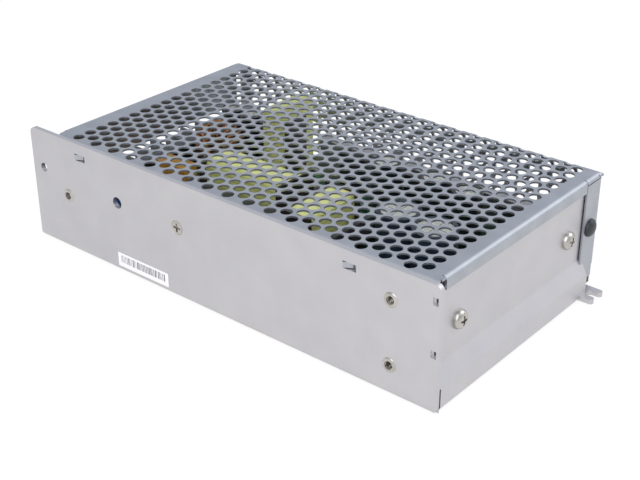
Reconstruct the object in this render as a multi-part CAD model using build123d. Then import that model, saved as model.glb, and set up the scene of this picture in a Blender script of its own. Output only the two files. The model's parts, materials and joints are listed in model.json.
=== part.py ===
"""Mesh case switching power supply, about 200 W, convection cooled.

A folded aluminium chassis (base, one long wall, one end wall) carries the circuit
board on pressed standoffs. A perforated steel cover closes the top and the far side.
The terminal block stands at the open left end, between the long wall's ear and the
cover. Sizes are in millimetres. The origin is the middle of the base's underside,
+X runs along the case towards the end wall, +Y away from the long wall, +Z up.
"""

from build123d import *
import os

# Case
LENGTH = 204.0              # long wall, from the ear's edge to the end wall's foot
WIDTH = 110.0
HEIGHT = 50.0
CHASSIS_SHEET = 2.0
CHASSIS_BEND = 2.2          # outer radius of the chassis folds
COVER_SHEET = 1.0
COVER_BEND = 1.8            # outer radius of the cover folds
SEAM = 0.2                  # gap between the cover and what it closes on
SLIP = 0.1                  # running gap between pieces that are slid together

# Chassis outline
BASE_INSET = 1.0            # the base stops this short of the ear's edge
LIP_HEIGHT = 10.0
LIP_END_GAP = 9.0           # the far lip stops this short of the end wall
JOGGLE_DEPTH = 3.5          # how far the end wall steps in above its foot
JOGGLE_LOW = 9.5
JOGGLE_HIGH = 16.5
END_WALL_DROP = 4.0         # end wall's top edge, below the case's top
END_WALL_FAR_GAP = 9.2      # foot of the end wall stops this short of the far side
END_TAB_FAR_GAP = 4.0       # its upper part runs further, behind the cover's flange
END_WALL_NEAR_GAP = 2.0     # its upper part starts this far from the long wall
CORNER_SLIT = 0.8
CORNER_SLIT_LOW = 1.5
CORNER_ROUND = 2.5
LUG_OUT = 5.0               # mounting lug beyond the end wall
LUG_WIDTH = 9.6
LUG_SLOT = 4.2
LUG_FAR_GAP = 3.2

# Features of the long wall, from the ear's edge or from the end wall, and from the base
EAR_HOLE = (6.5, 33.5)
EAR_HOLE_DIAMETER = 3.8
ACCESS_HOLE = (50.5, 31.0)
ACCESS_HOLE_DIAMETER = 4.8
SIDE_SCREW = (83.7, 31.0)
EAR_INSERT = (20.8, 25.0)
END_INSERTS_X = 19.6        # from the end wall
END_INSERTS_IN = 12.2       # above the base and below the top
LATCH_LEFT_X = 30.0
LATCH_RIGHT_X = 37.2        # from the end wall
LATCH_DROP = 5.9            # below the top
LATCH_SLOT = (5.8, 2.8)
WINDOW_SIZE = (2.2, 2.9)
WINDOW_EDGE = 0.8           # metal left between a window and the wall's edge
WINDOWS_Z = (23.6, 43.8)

# Cover outline
COVER_LEFT_GAP = 13.3       # top starts this far from the ear's edge
COVER_BOTTOM = 11.0         # far wall's lower edge
NEAR_FLANGE = 8.0
END_FLANGE = 5.0
END_FLANGE_START = 6.6      # from the long wall's outer face
FAR_FLANGE = 11.4           # the far wall's own flange round the end
LEFT_FLANGE = 20.0
MITRE_GAP = 0.4

# Perforation: staggered round holes, drawn here as one hexagon for a group of them
HOLE_PITCH_X = 5.12
HOLE_PITCH_Y = 6.02
HOLE_DIAMETER = 4.7
HOLE_GROUP = 2              # a hexagon stands for this many holes each way
MESH_LEFT_MARGIN = 8.5      # plain sheet left along the cover's edges
MESH_RIGHT_MARGIN = 6.3
MESH_NEAR_MARGIN = 2.0
MESH_BOTTOM_MARGIN = 4.0

# Fasteners
M3 = 3.0
M4 = 4.0
SCREW_GAP = 0.15            # on the radius, round a screw's shank
CLINCH_GAP = 0.05           # on the radius, round what is pressed in or sleeved
ROUND_SIDES = 12            # sides of the prisms that stand for small rounds that repeat
INSERT_DIAMETER = 5.3       # clinched insert, flush with the outer face
INSERT_ACROSS = 7.0         # its hexagonal body on the inner face
INSERT_BODY_HEIGHT = 1.4
INSERT_COLLAR = (6.6, 0.5)  # rolled rim of the long wall's inserts: diameter, height
INSERT_BORE = 3.3           # tapped M4
BASE_INSERT_SPAN = (150.0, 50.0)
END_SCREW_Z = 29.0
END_SCREW_NEAR_Y = 16.6     # from the long wall
END_SCREW_FAR_Y = 21.6      # from the far side
PAN_HEAD = (7.2, 2.4)
SIDE_SCREW_HEAD = 5.6
RIVET_Z = 28.8
RIVET_EDGE = 6.7            # from the far side
RIVET_HEAD = (7.2, 2.2)
RIVET_SHANK = 3.8

# Board
STANDOFF = 6.0
STANDOFF_CORNER = 3.4       # from its axis to a corner of its hexagon
BOARD_SHEET = 1.6
BOARD_EDGE = 2.0            # gap round the board
BOARD_LEFT_GAP = 1.4        # from the ear's edge
SHEET_FILM = 0.5
FILM_MARGIN = 3.0
BOARD_SCREW_HEAD = (5.6, 2.1)

# Terminal block
POLE_PITCH = 9.5
BARRIER = 1.5
TERMINAL_DEPTH = 15.0
TERMINAL_BASE = 4.5
TERMINAL_HEIGHT = 13.0
TERMINAL_BACK = 4.5
TERMINAL_START = 2.2        # from the board's near edge
ADJUSTER_ROOM = 13.0        # board kept free at the far end for the trimmer and the lamp
CONTACT_SHEET = 0.8
CLAMP_SHEET = 1.0
TERMINAL_SCREW = (3.5, 6.4, 2.2)    # shank, head, head height
TERMINAL_SCREW_IN = 3.4     # how deep it goes into the block

# Voltage trimmer and lamp
TRIMMER_BODY = (6.0, 7.6, 9.6)
TRIMMER_IN = 1.6            # from the board's left edge
TRIMMER_GAP = 0.8           # from the terminal block
ROTOR_DIAMETER = 5.0
ROTOR_OUT = 0.8
ROTOR_DEPTH = 2.6
ROTOR_GAP = 0.05            # running fit on the radius
ROTOR_SLOT = (0.8, 0.9)
LAMP_DIAMETER = 3.0
LAMP_HEIGHT = 5.0
LAMP_RIM = (0.3, 0.8)       # how far it stands out, and its height
LAMP_IN = 4.0               # from the board's left edge
LAMP_GAP = 0.6              # from the trimmer

# Wound parts
TOROID_GAP = 0.15
PART_GAP = 0.4                      # between parts that stand side by side
FILTER_RING = (9.0, 3.6, 1.3)       # ring radius, half the core's section, wire build
OUTPUT_RING = (8.6, 3.4, 1.5)
MAIN_CORE = (50.0, 30.0, 12.0)
MAIN_LEG = 4.2
MAIN_CENTRE = 7.0
MAIN_WINDING = (15.6, 30.0)
SMALL_CORE = (36.0, 23.0, 9.0)
SMALL_LEG = 3.2
SMALL_CENTRE = 4.6
SMALL_WINDING = (12.4, 28.0)
WINDING_GAP = 0.2                   # between core, bobbin and winding
BOBBIN_WALL = 1.0
TAPE_TOP_GAP = 3.4                  # from the winding's top to the cover
EDGE_CHOKE = (7.0, 25.0)            # thickness and width of the choke that stands on edge
EDGE_CHOKE_FRAME = 6.0
EDGE_CHOKE_BULGE = 1.5              # how far its coil stands out on each side
EDGE_CHOKE_TOP_GAP = 2.6

# Capacitors
CAN_SKIN = 0.4                      # sleeve round a capacitor can
CAN_RIM = 1.4                       # the sleeve's turned-in rim over a can's top
BULK = (17.0, 4.4)                  # mains reservoir cans: diameter, gap to the cover
MID = (12.5, 10.4)
SMALL = (10.0, 13.4)
BULK_PLACES = ((0.787, 0.390), (0.880, 0.360))
MID_PLACES = ((0.598, 0.80), (0.720, 0.80), (0.805, 0.78))
SMALL_PLACES = ((0.125, 0.865), (0.182, 0.865), (0.239, 0.865))

VARISTOR = (22.0, 4.6, 3.0)         # dipped discs: diameter, thickness, lift off the board
THERMISTOR = (13.0, 4.2, 2.5)
SAFETY_DISC = (9.0, 3.4, 2.0)
FILM_BOX = (18.0, 8.4, 15.0)
DISC_LEAD = 0.8

# Semiconductors
PACKAGE = (10.0, 15.5, 4.4)         # clamped transistor: width, height, thickness
PACKAGE_HOLE_UP = 12.5              # its screw hole above its lower edge
PACKAGE_LEAN = 1.0                  # chamfer of its lower front edge
LEAD = (0.8, 0.5)
LEAD_PITCH = 2.54
NUT_M4 = (7.0, 3.0)                 # across flats, height
NUT_M3 = (5.5, 2.4)
SCREW_PAST_NUT = 0.8
HEATSINK_DROP = 18.0                # its top below the cover's inside
HEATSINK_SHEET = 3.0
HEATSINK_ENDS = (0.36, 0.915)
HEATSINK_BACK = 4.0                 # from the board's far edge to its back
HEATSINK_FINS = 3
HEATSINK_FIN = (1.4, 2.2)           # height and depth of one fin
DIODE_DROP = 4.0                    # screw hole below the heatsink's top
BRIDGE = (3.6, 20.0, 15.5)
BRIDGE_LIFT = 2.5
BRIDGE_PITCH = 5.0
BRIDGE_LEAD = (0.8, 1.2)

# Small parts
CONTROL_U = (0.605, 0.835)
CONTROL_V = 0.565
CONTROL_HEIGHT = 20.0
CONTROL_SHEET = 1.0
CHIP_THICK = 1.6
CHIPS = ((0.2, 9.0, 4.0, 7.0), (0.55, 6.0, 4.0, 10.0), (0.82, 4.0, 2.4, 5.0))
OPTOCOUPLER = (4.6, 6.4, 3.5)
RESISTOR = (4.0, 11.0)              # diameter and length
FUSE_PLACE = (0.158, 12.3)          # share of the board's length, distance from its near edge
FUSE_AXIS = 4.6                     # above the board
FUSE_TUBE = (5.0, 18.8)             # diameter and length
FUSE_CAP = (5.6, 3.0)
FUSE_GAP = 0.1
LABEL = (28.6, 6.0, 0.15)
LABEL_CORNER = (48.6, 2.6)          # from the ear's edge and from the base

# Derived planes and edges
LEFT = -LENGTH / 2
RIGHT = LENGTH / 2
NEAR = -WIDTH / 2
FAR = WIDTH / 2
NEAR_IN = NEAR + CHASSIS_SHEET
WALL_X = RIGHT - JOGGLE_DEPTH
WALL_IN = WALL_X - CHASSIS_SHEET
END_WALL_TOP = HEIGHT - END_WALL_DROP
END_FAR_Y = FAR - END_WALL_FAR_GAP
LIP_Y = FAR - COVER_SHEET - SEAM
COVER_LEFT = LEFT + COVER_LEFT_GAP
COVER_RIGHT = WALL_X + SLIP + COVER_SHEET
COVER_NEAR = NEAR_IN + SLIP
COVER_IN = HEIGHT - COVER_SHEET
LATCH_Z = HEIGHT - LATCH_DROP
FLANGE_Y = NEAR + END_FLANGE_START
FAR_FLANGE_Y = FAR - FAR_FLANGE
BOARD_Z = CHASSIS_SHEET + STANDOFF
BOARD_TOP = BOARD_Z + BOARD_SHEET
BOARD_X0 = LEFT + BOARD_LEFT_GAP
BOARD_X1 = WALL_IN - BOARD_EDGE
BOARD_Y0 = NEAR_IN + BOARD_EDGE
BOARD_Y1 = LIP_Y - CHASSIS_SHEET - BOARD_EDGE / 4
BOARD_LENGTH = BOARD_X1 - BOARD_X0
BOARD_WIDTH = BOARD_Y1 - BOARD_Y0
TERMINAL_Y0 = BOARD_Y0 + TERMINAL_START
POLES = int((BOARD_WIDTH - TERMINAL_START - ADJUSTER_ROOM - BARRIER) / POLE_PITCH)
TERMINAL_Y1 = TERMINAL_Y0 + POLES * POLE_PITCH + BARRIER
TERMINAL_X0 = BOARD_X0
TERMINAL_X1 = TERMINAL_X0 + TERMINAL_DEPTH
POLE_YS = [TERMINAL_Y0 + BARRIER / 2 + POLE_PITCH * (i + 0.5) for i in range(POLES)]
TALL = COVER_IN - BOARD_TOP     # height free above the board
HEATSINK_TOP = COVER_IN - HEATSINK_DROP
FUSE_Y = BOARD_Y0 + FUSE_PLACE[1]
FILTER_CHOKE_Y = FUSE_Y + FUSE_CAP[0] / 2 + PART_GAP + sum(FILTER_RING)
TERMINAL_MID_X = TERMINAL_X0 + (TERMINAL_DEPTH - TERMINAL_BACK) / 2
CONTACT_HALF = (POLE_PITCH - BARRIER) / 2 - 0.4
TRIMMER_Y = TERMINAL_Y1 + TRIMMER_GAP + TRIMMER_BODY[1] / 2
TRIMMER_X = BOARD_X0 + TRIMMER_IN
TRIMMER_Z = BOARD_TOP + TRIMMER_BODY[2] / 2
LAMP_Y = TRIMMER_Y + TRIMMER_BODY[1] / 2 + LAMP_GAP + LAMP_DIAMETER / 2 + LAMP_RIM[0]


# Small solids

def block(x0, x1, y0, y1, z0, z1):
    """A box between two corners."""
    return Pos((x0 + x1) / 2, (y0 + y1) / 2, (z0 + z1) / 2) * Box(x1 - x0, y1 - y0, z1 - z0)


def post(x, y, z0, z1, radius):
    """An upright cylinder."""
    return Pos(x, y, (z0 + z1) / 2) * Cylinder(radius, z1 - z0)


def prism(x, y, z0, z1, radius, sides=ROUND_SIDES):
    """An upright prism whose corners lie on the radius: a small round that repeats has few faces."""
    return Pos(x, y, z0) * extrude(RegularPolygon(radius, sides), z1 - z0)


def rod_x(x0, x1, y, z, radius):
    """A cylinder along X."""
    return Pos((x0 + x1) / 2, y, z) * Rot(0, 90, 0) * Cylinder(radius, x1 - x0)


def rod_y(x, y0, y1, z, radius):
    """A cylinder along Y."""
    return Pos(x, (y0 + y1) / 2, z) * Rot(90, 0, 0) * Cylinder(radius, y1 - y0)


def fold(points, sheet, radius, plane, depth):
    """Sheet metal folded along its outer face; its inside lies left of the path."""
    outer = FilletPolyline(*points, radius=radius)
    return extrude(plane * make_face(offset(outer, sheet, side=Side.LEFT, closed=True)), depth)


def fold_x(points, sheet, radius, x0, x1):
    """A folded section drawn in Y and Z, running along X."""
    plane = Plane(origin=(x0, 0, 0), x_dir=(0, 1, 0), z_dir=(1, 0, 0))
    return fold(points, sheet, radius, plane, x1 - x0)


def fold_y(points, sheet, radius, y0, y1):
    """A folded section drawn in X and Z, running along Y."""
    plane = Plane(origin=(0, y1, 0), x_dir=(1, 0, 0), z_dir=(0, -1, 0))
    return fold(points, sheet, radius, plane, y1 - y0)


def fold_z(points, sheet, radius, z0, z1):
    """A folded section drawn in X and Y, running upwards."""
    return fold(points, sheet, radius, Plane(origin=(0, 0, z0)), z1 - z0)


def on_board(u, v):
    """A place on the board, as shares of its length and width from the near left corner."""
    return BOARD_X0 + u * BOARD_LENGTH, BOARD_Y0 + v * BOARD_WIDTH


# Sheet metal

def corner_trim(x, z, side_x, side_z, y0, y1):
    """What rounds one corner of a wall: a square corner less a quarter disc."""
    r = CORNER_ROUND
    square = block(min(x, x - side_x * r), max(x, x - side_x * r), y0, y1,
                   min(z, z - side_z * r), max(z, z - side_z * r))
    return square - rod_y(x - side_x * r, y0 - 1, y1 + 1, z - side_z * r, r)


def standoff_places():
    """Where the board's pressed standoffs stand."""
    shares = ((0.098, 0.045), (0.098, 0.955), (0.455, 0.60), (0.955, 0.045), (0.955, 0.955))
    return [on_board(u, v) for u, v in shares]


def base_insert_places():
    """The four tapped inserts in the base."""
    half_x, half_y = BASE_INSERT_SPAN[0] / 2, BASE_INSERT_SPAN[1] / 2
    return [(i * half_x, j * half_y) for i in (-1, 1) for j in (-1, 1)]


def side_insert_places():
    """The tapped inserts in the long wall, as X and Z."""
    pair = [(RIGHT - END_INSERTS_X, z) for z in (END_INSERTS_IN, HEIGHT - END_INSERTS_IN)]
    return [(LEFT + EAR_INSERT[0], EAR_INSERT[1])] + pair


def latch_places():
    """Where the cover's barbs snap into the long wall, along X."""
    return LEFT + LATCH_LEFT_X, RIGHT - LATCH_RIGHT_X


def end_screw_places():
    """The pan-head screws of the end wall, along Y."""
    return NEAR + END_SCREW_NEAR_Y, FAR - END_SCREW_FAR_Y


def long_wall_cuts():
    """Holes, latch slots, windows and rounded corners of the long wall."""
    y0, y1 = NEAR - 1, NEAR_IN + 0.5
    cuts = [rod_y(LEFT + EAR_HOLE[0], y0, y1, EAR_HOLE[1], EAR_HOLE_DIAMETER / 2)]
    cuts.append(rod_y(LEFT + ACCESS_HOLE[0], y0, y1, ACCESS_HOLE[1], ACCESS_HOLE_DIAMETER / 2))
    screw_x, screw_z = LEFT + SIDE_SCREW[0], SIDE_SCREW[1]
    cuts.append(rod_y(screw_x, y0, y1, screw_z, M3 / 2 + SCREW_GAP))
    cuts.append(countersink(screw_x, screw_z, SIDE_SCREW_HEAD / 2 + SCREW_GAP))
    for x, z in side_insert_places():
        cuts.append(rod_y(x, y0, y1, z, INSERT_DIAMETER / 2 + CLINCH_GAP))
    half, tall = LATCH_SLOT[0] / 2, LATCH_SLOT[1] / 2
    for x in latch_places():
        cuts.append(block(x - half, x + half, y0, y1, LATCH_Z - tall, LATCH_Z + tall))
    x1 = RIGHT - WINDOW_EDGE
    for z in WINDOWS_Z:
        tall = WINDOW_SIZE[1] / 2
        cuts.append(block(x1 - WINDOW_SIZE[0], x1, y0, y1, z - tall, z + tall))
    for x, z, side_x, side_z in ((LEFT, HEIGHT, -1, 1), (RIGHT, HEIGHT, 1, 1), (RIGHT, 0, 1, -1)):
        cuts.append(corner_trim(x, z, side_x, side_z, y0, NEAR_IN))
    return cuts


def countersink(x, z, radius):
    """A 90 degree cone sunk from the long wall's outer face."""
    cone = Cone(0, radius, radius)
    return Pos(x, NEAR + radius / 2, z) * Rot(90, 0, 0) * cone


def lug():
    """The flat lug past the end wall, with a slot open towards +X."""
    y1 = FAR - LUG_FAR_GAP
    y0 = y1 - LUG_WIDTH
    middle = (y0 + y1) / 2
    prong = (LUG_WIDTH - LUG_SLOT) / 4
    tip = RIGHT + LUG_OUT
    outline = Pos((RIGHT - CHASSIS_BEND - 1 + tip - prong) / 2, middle)
    outline *= Rectangle(tip - prong - RIGHT + CHASSIS_BEND + 1, LUG_WIDTH)
    outline += [Pos(tip - prong, y) * Circle(prong) for y in (y0 + prong, y1 - prong)]
    root = RIGHT + LUG_SLOT / 2
    outline -= Pos(root, middle) * Circle(LUG_SLOT / 2)
    outline -= Pos((root + tip + 1) / 2, middle) * Rectangle(tip + 1 - root, LUG_SLOT)
    return extrude(outline, CHASSIS_SHEET)


def chassis():
    """Base, long wall with its ear, far lip, stepped end wall and lug: one folded sheet."""
    section = [(NEAR, HEIGHT), (NEAR, 0), (LIP_Y, 0), (LIP_Y, LIP_HEIGHT)]
    body = fold_x(section, CHASSIS_SHEET, CHASSIS_BEND, LEFT, RIGHT)
    base_end = RIGHT - CHASSIS_BEND - 0.5
    inside = NEAR_IN + SLIP
    body -= block(base_end, RIGHT + 1, inside, FAR + 1, -1, HEIGHT)
    body -= block(LEFT - 1, LEFT + BASE_INSET, inside, FAR + 1, -1, HEIGHT)
    body -= block(RIGHT - LIP_END_GAP, RIGHT + 1, LIP_Y - CHASSIS_BEND, FAR + 1, -1, HEIGHT)
    foot = [(base_end - 4, 0), (RIGHT, 0), (RIGHT, JOGGLE_LOW), (WALL_X, JOGGLE_HIGH),
            (WALL_X, END_WALL_TOP)]
    body += fold_y(foot, CHASSIS_SHEET, CHASSIS_BEND, inside, END_FAR_Y)
    body -= block(WALL_IN - 1, RIGHT + 1, NEAR_IN, NEAR_IN + END_WALL_NEAR_GAP, JOGGLE_HIGH, HEIGHT)
    upper_z = JOGGLE_HIGH + CHASSIS_BEND
    body += block(WALL_IN, WALL_X, END_FAR_Y - 1, FAR - END_TAB_FAR_GAP, upper_z, END_WALL_TOP)
    body += lug()
    body -= block(RIGHT - CHASSIS_SHEET - 0.5, RIGHT + 1, NEAR_IN, NEAR_IN + CORNER_SLIT,
                  CORNER_SLIT_LOW, JOGGLE_LOW)
    body -= long_wall_cuts()
    for x, y in standoff_places():
        body -= prism(x, y, -1, CHASSIS_SHEET + 1, STANDOFF_CORNER + CLINCH_GAP, 6)
    for x, y in base_insert_places():
        body -= post(x, y, -1, CHASSIS_SHEET + 1, INSERT_DIAMETER / 2 + CLINCH_GAP)
    for y in end_screw_places():
        body -= rod_x(WALL_IN - 1, WALL_X + 1, y, END_SCREW_Z, M4 / 2 + SCREW_GAP)
    body -= rod_x(WALL_IN - 1, WALL_X + 1, FAR - RIVET_EDGE, RIVET_Z, RIVET_SHANK / 2 + SCREW_GAP)
    return body


def mesh_places():
    """Centres of the openings: along X, and along the unrolled sheet from the near edge."""
    step_x = HOLE_PITCH_X * HOLE_GROUP
    step_y = HOLE_PITCH_Y * HOLE_GROUP
    room_x = COVER_RIGHT - COVER_LEFT - MESH_LEFT_MARGIN - MESH_RIGHT_MARGIN
    columns = int((room_x - HOLE_DIAMETER * HOLE_GROUP) / step_x) + 1
    first_x = COVER_LEFT + MESH_LEFT_MARGIN + HOLE_DIAMETER * HOLE_GROUP / 2
    first_x += (room_x - HOLE_DIAMETER * HOLE_GROUP - (columns - 1) * step_x) / 2
    unrolled = (FAR - COVER_NEAR) + (HEIGHT - COVER_BOTTOM)
    first_s = MESH_NEAR_MARGIN + HOLE_DIAMETER * HOLE_GROUP / 2
    last_s = unrolled - MESH_BOTTOM_MARGIN - HOLE_DIAMETER * HOLE_GROUP / 2
    places = []
    for column in range(columns):
        s = first_s + (column % 2) * step_y / 2
        while s <= last_s:
            places.append((first_x + column * step_x, s))
            s += step_y
    return places


def mesh_cutter(x, s):
    """One hexagonal opening, cut square to the sheet at its own place."""
    across = HOLE_DIAMETER * HOLE_GROUP
    flat = FAR - COVER_NEAR
    hexagon = RegularPolygon(across / 2, 6, major_radius=False)
    prism = extrude(hexagon, COVER_SHEET * 2, both=True)
    if s < flat - across / 2:
        return Pos(x, COVER_NEAR + s, COVER_IN) * prism
    if s > flat + across / 2:
        return Pos(x, FAR - COVER_SHEET, HEIGHT - (s - flat)) * Rot(90, 0, 0) * prism
    lean = 45 * (1 + (s - flat) / (across / 2))
    corner = COVER_BEND / 2
    return Pos(x, FAR - corner, HEIGHT - corner) * Rot(-lean, 0, 0) * extrude(hexagon, across)


def barb(x):
    """A barb lanced out of the cover's near flange; it snaps into the long wall."""
    half = LATCH_SLOT[0] / 2 - 0.7
    tall = LATCH_SLOT[1] / 2 - 0.4
    root = COVER_NEAR + 0.2
    points = [(root, LATCH_Z - tall), (root, LATCH_Z + tall), (NEAR + 0.5, LATCH_Z + tall)]
    plane = Plane(origin=(x - half, 0, 0), x_dir=(0, 1, 0), z_dir=(1, 0, 0))
    return extrude(plane * make_face(Polyline(*points, close=True)), 2 * half)


def perforated_cover():
    """Top, far wall and flanges, one perforated sheet."""
    sheet, bend = COVER_SHEET, COVER_BEND
    tail = bend + 2.0
    section = [(FAR, COVER_BOTTOM), (FAR, HEIGHT), (COVER_NEAR, HEIGHT),
               (COVER_NEAR, HEIGHT - NEAR_FLANGE)]
    body = fold_x(section, sheet, bend, COVER_LEFT + bend, COVER_RIGHT - bend)
    corner = [(FAR, HEIGHT - bend - 0.1), (FAR, HEIGHT), (FAR_FLANGE_Y, HEIGHT)]
    body += fold_x(corner, sheet, bend, COVER_RIGHT - bend - 0.5, COVER_RIGHT)
    end = [(COVER_RIGHT, HEIGHT - END_FLANGE), (COVER_RIGHT, HEIGHT), (COVER_RIGHT - tail, HEIGHT)]
    body += fold_y(end, sheet, bend, FLANGE_Y, FAR_FLANGE_Y - MITRE_GAP)
    left = [(COVER_LEFT + tail, HEIGHT), (COVER_LEFT, HEIGHT), (COVER_LEFT, HEIGHT - LEFT_FLANGE)]
    body += fold_y(left, sheet, bend, FLANGE_Y, FAR - bend - MITRE_GAP)
    around = [(COVER_RIGHT, FAR_FLANGE_Y), (COVER_RIGHT, FAR), (COVER_RIGHT - tail, FAR)]
    body += fold_z(around, sheet, bend, COVER_BOTTOM, HEIGHT - bend)
    body -= block(WALL_IN - MITRE_GAP, COVER_RIGHT + 1, COVER_NEAR - 1, FLANGE_Y, 0, COVER_IN)
    body -= block(COVER_RIGHT - sheet - 1, COVER_RIGHT + 1, FAR_FLANGE_Y - 1, END_FAR_Y + MITRE_GAP,
                  0, JOGGLE_HIGH + MITRE_GAP)
    body -= [mesh_cutter(x, s) for x, s in mesh_places()]
    body -= rod_x(COVER_RIGHT - sheet - 1, COVER_RIGHT + 1, FAR - RIVET_EDGE, RIVET_Z,
                  RIVET_SHANK / 2 + SCREW_GAP)
    for x in latch_places():
        body += barb(x)
    return body


# Fasteners

def turned(points, plane):
    """A turned part: half outline as radius and height, spun about the plane's normal."""
    profile = Plane.XZ * make_face(Polyline(*points, close=True))
    return plane * revolve(profile, Axis.Z)


def cross_recess(plane, width, depth):
    """The cross of a screw head, sunk below the plane."""
    blade = width / 4
    cross = Rectangle(width, blade) + Rectangle(blade, width)
    return extrude(plane * cross, -depth)


def pan_screw(plane, shank, length, head):
    """A pan-head screw: its seat on the plane, its shank below it."""
    r, tall = head[0] / 2, head[1]
    shank_edge = [(0, -length), (shank / 2, -length), (shank / 2, 0)]
    crown = [(r, 0), (r, 0.4 * tall), (0.62 * r, tall), (0, tall)]
    return turned(shank_edge + crown, plane) - cross_recess(plane.offset(tall), 0.95 * r, 0.55 * tall)


def small_screw(x, y, z, shank, length, head):
    """A screw inside the case: its seat at z, its head above, its shank below."""
    return prism(x, y, z - length, z, shank / 2) + prism(x, y, z, z + head[1], head[0] / 2)


def insert(plane, collar=False):
    """A tapped bush: round spigot in the sheet, hexagonal body on its inner face, a collar outside or none."""
    bush = extrude(plane * Circle(INSERT_DIAMETER / 2), CHASSIS_SHEET)
    if collar:
        bush += extrude(plane * Circle(INSERT_COLLAR[0] / 2), -INSERT_COLLAR[1])
    body = RegularPolygon(INSERT_ACROSS / 2, 6, major_radius=False)
    bush += extrude(plane.offset(CHASSIS_SHEET) * body, INSERT_BODY_HEIGHT)
    return bush - extrude(plane.offset(-1) * Circle(INSERT_BORE / 2), CHASSIS_SHEET * 3)


def mounting_inserts():
    """Tapped inserts of the long wall and the base."""
    wall = [insert(Plane(origin=(x, NEAR, z), z_dir=(0, 1, 0)), collar=True)
            for x, z in side_insert_places()]
    base = [insert(Plane(origin=(x, y, 0))) for x, y in base_insert_places()]
    return Compound(wall + base)


def side_screw():
    """The countersunk screw that clamps the wall transistor."""
    x, z, r = LEFT + SIDE_SCREW[0], SIDE_SCREW[1], SIDE_SCREW_HEAD / 2
    shank = M3 / 2
    plane = Plane(origin=(x, NEAR, z), z_dir=(0, -1, 0))
    length = CHASSIS_SHEET + PACKAGE[2] + NUT_M3[1] + SCREW_PAST_NUT
    outline = [(0, 0), (r, 0), (shank, -(r - shank)), (shank, -length), (0, -length)]
    return turned(outline, plane) - cross_recess(plane.offset(0.01), 1.3 * r, 0.9)


def end_screws():
    """Two pan-head screws through the end wall."""
    planes = [Plane(origin=(WALL_X, y, END_SCREW_Z), z_dir=(1, 0, 0)) for y in end_screw_places()]
    length = CHASSIS_SHEET + PACKAGE[2] + NUT_M4[1] + SCREW_PAST_NUT
    return Compound([pan_screw(plane, M4, length, PAN_HEAD) for plane in planes])


def clamp_nuts():
    """Nuts behind the clamped transistors: two on the end wall, one on the long wall."""
    nuts = []
    for y in end_screw_places():
        plane = Plane(origin=(WALL_IN - PACKAGE[2], y, END_SCREW_Z), z_dir=(-1, 0, 0))
        nuts.append(nut(plane, M4, *NUT_M4))
    plane = Plane(origin=(LEFT + SIDE_SCREW[0], NEAR_IN + PACKAGE[2], SIDE_SCREW[1]),
                  z_dir=(0, 1, 0))
    nuts.append(nut(plane, M3, *NUT_M3))
    return Compound(nuts)


def nut(plane, thread, across, height):
    """A hexagon nut seated on the plane."""
    outline = RegularPolygon(across / 2, 6, major_radius=False)
    outline -= RegularPolygon(thread / 2 + SCREW_GAP, ROUND_SIDES)
    return extrude(plane * outline, height)


def snap_rivet():
    """The plastic rivet that pins the cover's far flange to the end wall's tab."""
    r, tall = RIVET_HEAD[0] / 2, RIVET_HEAD[1]
    grip = COVER_RIGHT - WALL_IN
    shank = RIVET_SHANK / 2
    outline = [(0, -grip - 3.2), (shank - 0.6, -grip - 3.2), (shank + 0.35, -grip - 0.25),
               (shank, -grip - 0.25), (shank, 0), (r, 0), (r, 0.3 * tall), (0.62 * r, tall), (0, tall)]
    return turned(outline, Plane(origin=(COVER_RIGHT, FAR - RIVET_EDGE, RIVET_Z), z_dir=(1, 0, 0)))


# Board and what stands on it

def insulating_sheet():
    """Thin sheet on the base, under the board."""
    x0, x1 = BOARD_X0 + FILM_MARGIN, BOARD_X1 - FILM_MARGIN
    y0, y1 = BOARD_Y0, BOARD_Y1 - FILM_MARGIN
    film = block(x0, x1, y0, y1, CHASSIS_SHEET, CHASSIS_SHEET + SHEET_FILM)
    for x, y in standoff_places() + base_insert_places():
        film -= prism(x, y, 0, BOARD_Z, INSERT_ACROSS * 0.7, 6)
    return film


def circuit_board():
    """The main board, with its screw holes."""
    board = block(BOARD_X0, BOARD_X1, BOARD_Y0, BOARD_Y1, BOARD_Z, BOARD_TOP)
    return board - [prism(x, y, 0, HEIGHT, M3 / 2 + SCREW_GAP) for x, y in standoff_places()]


def board_standoffs():
    """Hexagonal pillars pressed through the base, flush with its underside."""
    pillars = []
    for x, y in standoff_places():
        pillar = prism(x, y, 0, BOARD_Z, STANDOFF_CORNER, 6)
        pillars.append(pillar - prism(x, y, BOARD_Z - 5, BOARD_Z + 1, M3 / 2 + SCREW_GAP))
    return Compound(pillars)


def board_screws():
    """Screws that hold the board on its standoffs."""
    length = BOARD_SHEET + 4.5
    return Compound([small_screw(x, y, BOARD_TOP, M3, length, BOARD_SCREW_HEAD)
                     for x, y in standoff_places()])


def terminal_block():
    """Moulded barrier strip: one bay for each wire, open to the left and the top."""
    top = BOARD_TOP + TERMINAL_HEIGHT
    floor = BOARD_TOP + TERMINAL_BASE
    body = block(TERMINAL_X0, TERMINAL_X1, TERMINAL_Y0, TERMINAL_Y1, BOARD_TOP, top)
    half = (POLE_PITCH - BARRIER) / 2
    for y in POLE_YS:
        body -= block(TERMINAL_X0 - 1, TERMINAL_X1 - TERMINAL_BACK, y - half, y + half, floor, top + 1)
        hole = TERMINAL_SCREW[0] / 2 + SCREW_GAP
        body -= prism(TERMINAL_MID_X, y, floor - TERMINAL_SCREW_IN - SCREW_GAP, floor + 1, hole)
    return body


def terminal_contacts():
    """A plated contact on the floor of each bay."""
    z0 = BOARD_TOP + TERMINAL_BASE
    return Compound([bay_plate(y, z0, CONTACT_SHEET, TERMINAL_X0 + 0.3, 0.2) for y in POLE_YS])


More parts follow.
